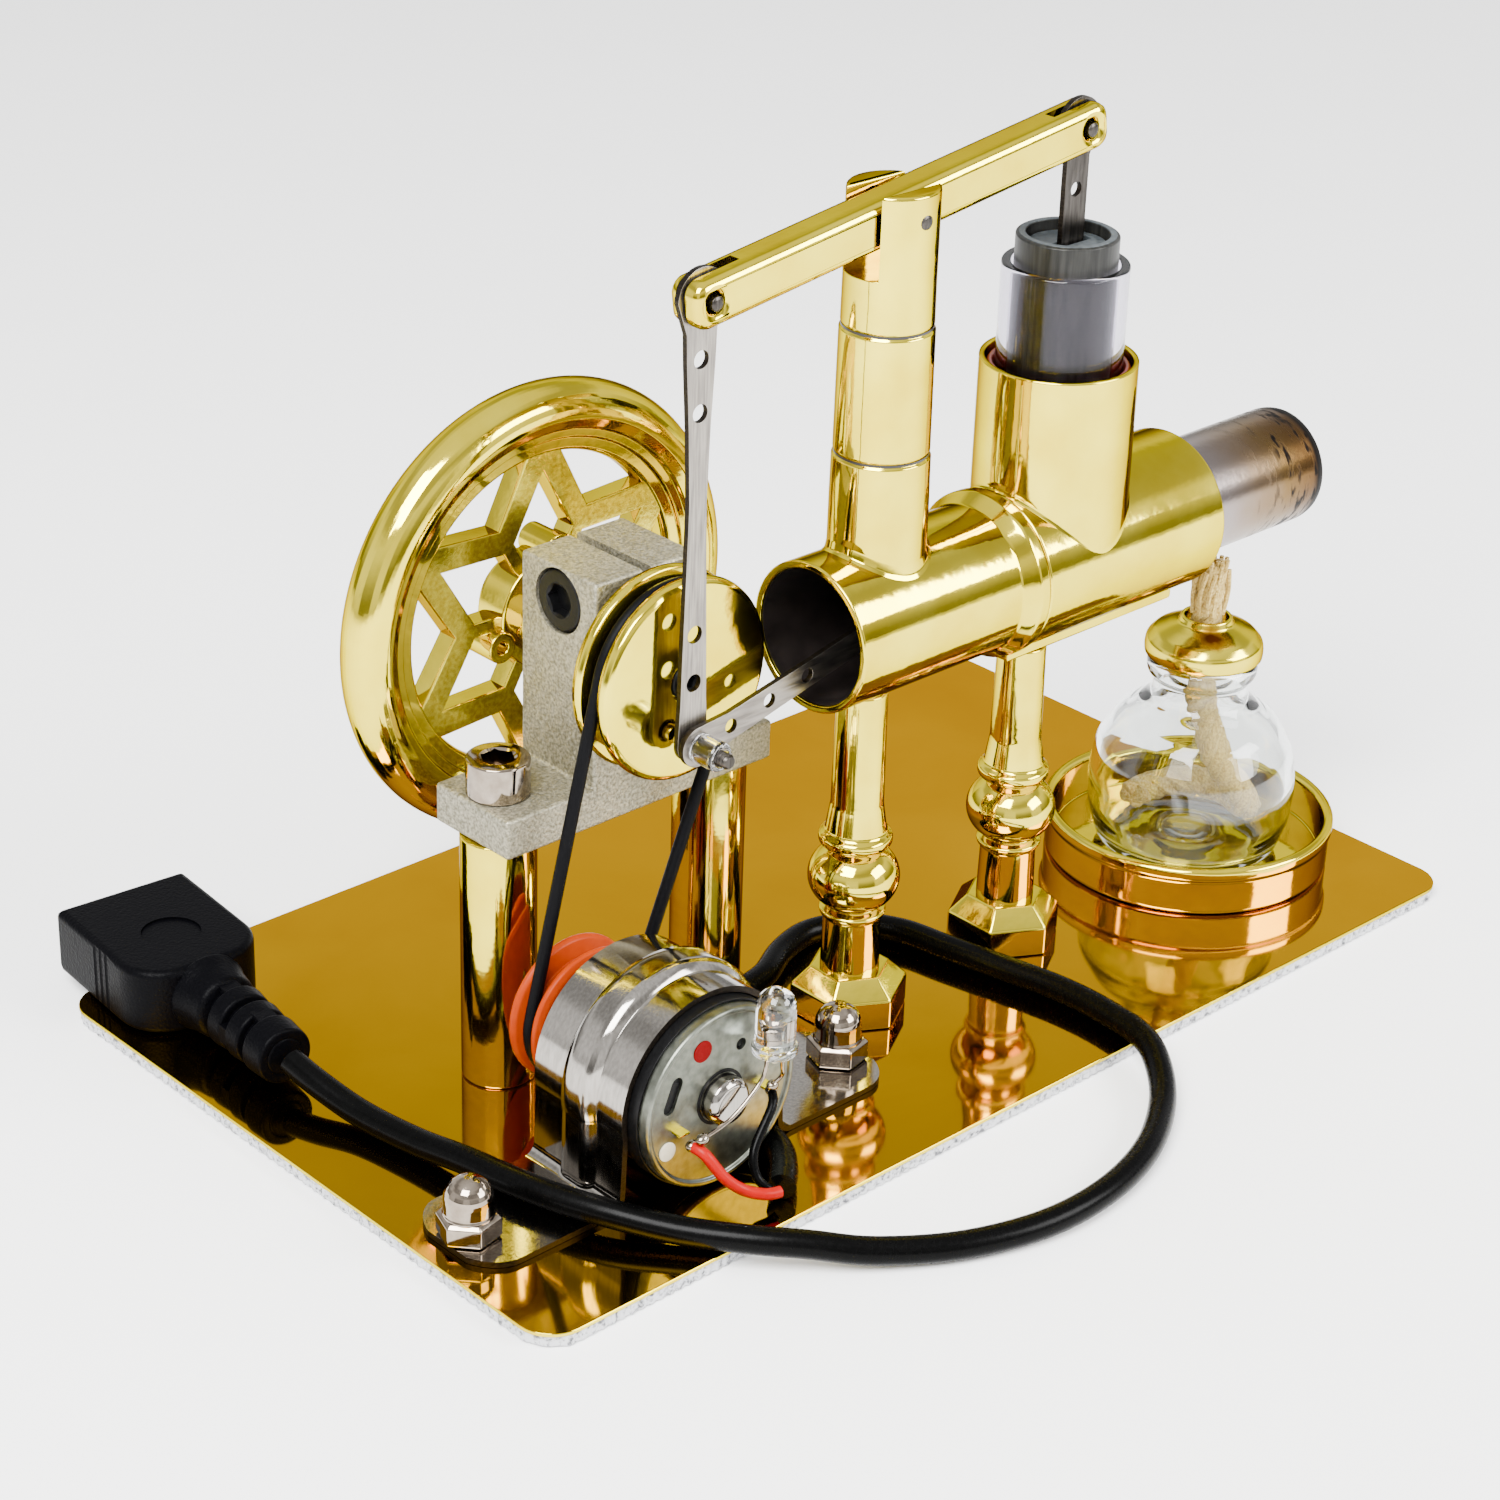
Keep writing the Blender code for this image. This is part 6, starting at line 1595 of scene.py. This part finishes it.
def strain_relief():
    """A neck that grows out of the moulding, then three deep rings on a thinner core, joined by ribs."""
    origin = (0.0, 0.0, 0.0)
    neck_profile = [(0.0, -1.0), (5.6, -1.0), (4.9, -3.2), (4.45, -6.4), (3.2, -6.9), (0.0, -6.9)]
    neck = turn(neck_profile, origin, "Y", 64, 0.6)
    core = turn([(0.0, -6.0), (3.1, -6.0), (2.8, -20.3), (2.4, -20.8), (0.0, -20.8)], origin, "Y", 64, 0.2)
    rings = []
    for start, radius, length in ((-8.4, 4.4, 2.7), (-12.6, 4.25, 2.7), (-16.8, 4.15, 4.0)):
        profile = [(2.4, start - length), (radius - 0.3, start - length), (radius, start), (2.4, start)]
        rings.append(turn(profile, origin, "Y", 64, 0.45, ring=True))
    ribs = []
    for k, low in enumerate((-9.0, -13.2, -17.4)):
        for turned_by in (0.0, math.pi) if k % 2 else (math.pi / 2.0, 1.5 * math.pi):
            rib = box((2.4, low, -1.3), (3.95, low + 3.0, 1.3), 0.1)
            rib.transform(Matrix.Rotation(turned_by, 4, "Y"))
            ribs.append(rib)
    return [neck, core, *rings, *ribs]


relief_parts = [(at_socket(part), SOCKET_PVC) for part in strain_relief()]
relief = piece("strain_relief", relief_parts, "base", "usb_relief")

# %% [markdown]
# ## Spirit burner
#
# The burner is a small blown bottle in a gold dish. Its wick is four twisted cotton strands that come up
# through a domed cap, frayed at the top, and lie in a turn on the bottle's floor. The cap is stained
# brown where the flame has licked it. The bottle is one closed profile, outside and inside, so that its
# wall has a true thickness for light to pass through.

# %% Tray and bottle
BURNER = (63.3, AXIS_Y, 0.0)
tray_profile = [(0.0, FLOOR_Z), (20.2, FLOOR_Z), (20.6, 2.5), (20.6, 7.3), (21.0, 7.8), (21.0, 9.0)]
tray_profile += [(20.5, 9.4), (19.9, 9.4), (19.4, 8.8), (19.4, 3.2), (0.0, 3.2)]
piece("gold_dish", [(turn(tray_profile, BURNER, steps=160, soft=0.3), GOLD)], "burner", "burner_tray")

bottle_outside = [(0.0, 5.2), (3.4, 5.0), (3.7, 4.2), (9.0, 3.9), (12.0, 3.6), (13.2, 4.4), (14.6, 9.0)]
bottle_outside += [(15.0, 14.0), (14.3, 19.0), (11.6, 23.6), (8.2, 26.2), (6.9, 27.6), (6.9, 30.0)]
bottle_outside += [(7.5, 30.6), (7.9, 31.3), (7.9, 32.7), (7.3, 33.3), (6.2, 33.3)]
bottle_inside = [(5.6, 32.8), (5.6, 28.0), (7.2, 25.2), (10.6, 22.4), (13.1, 18.4), (13.7, 14.0), (13.3, 9.4)]
bottle_inside += [(12.0, 5.8), (10.8, 5.2), (5.0, 5.4), (3.6, 6.4), (0.0, 6.7)]
jar = turn(bottle_outside + bottle_inside, BURNER, steps=128, soft=1.1)
piece("blown_bottle", [(jar, BLOWN_GLASS)], "burner", "burner_bottle")

# %% Burner cap
def stained_gold(middle):
    """Gold with a brown soot stain round a point, in metres."""
    material, tree, shader, place = new_finish("soot_stained_gold", Metallic=1.0,
                                               Specular_Tint=BRASSY_EDGE)
    away = add(tree, "ShaderNodeVectorMath", {0: place, 1: middle}, operation="DISTANCE")
    rough_rim = add(tree, "ShaderNodeTexNoise", {"Vector": place, "Scale": fine(1.6), "Detail": 4.0})
    ragged = add(tree, "ShaderNodeMapRange",
                 {"Value": rough_rim.outputs["Fac"], "To Min": -0.0011, "To Max": 0.0011})
    reach = add(tree, "ShaderNodeMath", {0: away.outputs["Value"], 1: ragged.outputs[0]}, operation="ADD")
    stain = add(tree, "ShaderNodeMapRange",
                {"Value": reach.outputs[0], "From Min": 0.0008, "From Max": 0.0026})
    tint = add(tree, "ShaderNodeValToRGB", {"Fac": stain.outputs[0]})
    tint.color_ramp.elements[0].color = linear("#4E2606")
    tint.color_ramp.elements[1].color = linear("#DAC636")
    tint.color_ramp.elements.new(0.5).color = linear("#9A7410")
    dull = add(tree, "ShaderNodeMapRange", {"Value": stain.outputs[0], "To Min": 0.55, "To Max": 0.14})
    tree.links.new(tint.outputs["Color"], shader.inputs["Base Color"])
    tree.links.new(dull.outputs["Result"], shader.inputs["Roughness"])
    return material


STAINED_GOLD = stained_gold(((BURNER[0] - 3.4) * MM, (BURNER[1] - 4.0) * MM, 0.0385))
cap_profile = [(3.1, 33.6), (8.4, 33.6), (8.5, 34.8), (8.3, 36.0), (7.2, 37.2), (5.4, 38.0), (3.9, 38.5)]
cap_profile += [(3.6, 39.6), (3.1, 39.6)]
cap_shape = turn(cap_profile, BURNER, steps=128, soft=0.4, ring=True)
piece("domed_burner_cap", [(cap_shape, STAINED_GOLD)], "burner", "burner_cap")

# %% [markdown]
# The wick's line goes from its frayed top down through the cap, leans over inside the bottle and then
# runs round the floor. Four strands twist about that line, and loose fibres stand up at the top. Their
# feet spread like the seeds of a sunflower, by the golden angle, which covers a disc evenly.

# %% Wick
def twisted(line, strands, offset, turn_length, radius):
    """Strands that wind about a line of evenly spaced points."""
    shapes = []
    for s in range(strands):
        points = []
        travelled = 0.0
        for k, here in enumerate(line):
            ahead = (line[min(k + 1, len(line) - 1)] - line[max(k - 1, 0)]).normalized()
            across = ahead.cross(Vector((0.3, 0.9, 0.1))).normalized()
            other = ahead.cross(across)
            travelled += (line[k] - line[max(k - 1, 0)]).length
            t = 2.0 * math.pi * (travelled / turn_length + s / strands)
            points.append(here + offset * (math.cos(t) * across + math.sin(t) * other))
        shapes.append(wire([tuple(p) for p in points], radius, roundness=3))
    return shapes


wick_top = Vector((BURNER[0], BURNER[1], 47.6))
wick_route = [wick_top, wick_top + Vector((0.0, 0.0, -9.0)), wick_top + Vector((0.0, 0.0, -16.0))]
lean = [(0.7, -0.6, -23.8), (2.9, -2.4, -31.0), (5.6, -4.8, -36.2)]
wick_route += [wick_top + Vector(step) for step in lean]
for degrees in range(-38, 133, 19):
    t = math.radians(degrees)
    across = Vector((8.8 * math.cos(t), 8.8 * math.sin(t), 8.6 + 0.4 * math.sin(3 * t)))
    wick_route.append(Vector(BURNER) + across)
wick_line = smooth_line(wick_route, 260)
wick_parts = [(strand, COTTON) for strand in twisted(wick_line, 4, 1.15, 11.0, 1.15)]

FIBRES = 46
GOLDEN_ANGLE = 2.399963
for k in range(FIBRES):
    t = GOLDEN_ANGLE * k
    spread = 2.3 * math.sqrt((k + 0.5) / FIBRES)
    foot = wick_top + Vector((spread * math.cos(t), spread * math.sin(t), -7.5))
    splayed, twist = 1.12 * spread, t + 0.35
    tip = wick_top + Vector((splayed * math.cos(twist), splayed * math.sin(twist), 0.9 * math.sin(5.1 * k)))
    middle = (foot + tip) / 2.0 + Vector((0.35 * math.cos(3.7 * k), 0.35 * math.sin(3.7 * k), 0.0))
    fibre = wire([tuple(p) for p in smooth_line([foot, middle, tip], 8)], 0.34, roundness=1)
    wick_parts.append((fibre, COTTON))
piece("cotton_wick", wick_parts, "burner", "burner_wick")

# %% Finish
low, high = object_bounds()
print("dressed:", [round(v * 1000.0, 1) for corner in (low, high) for v in corner])
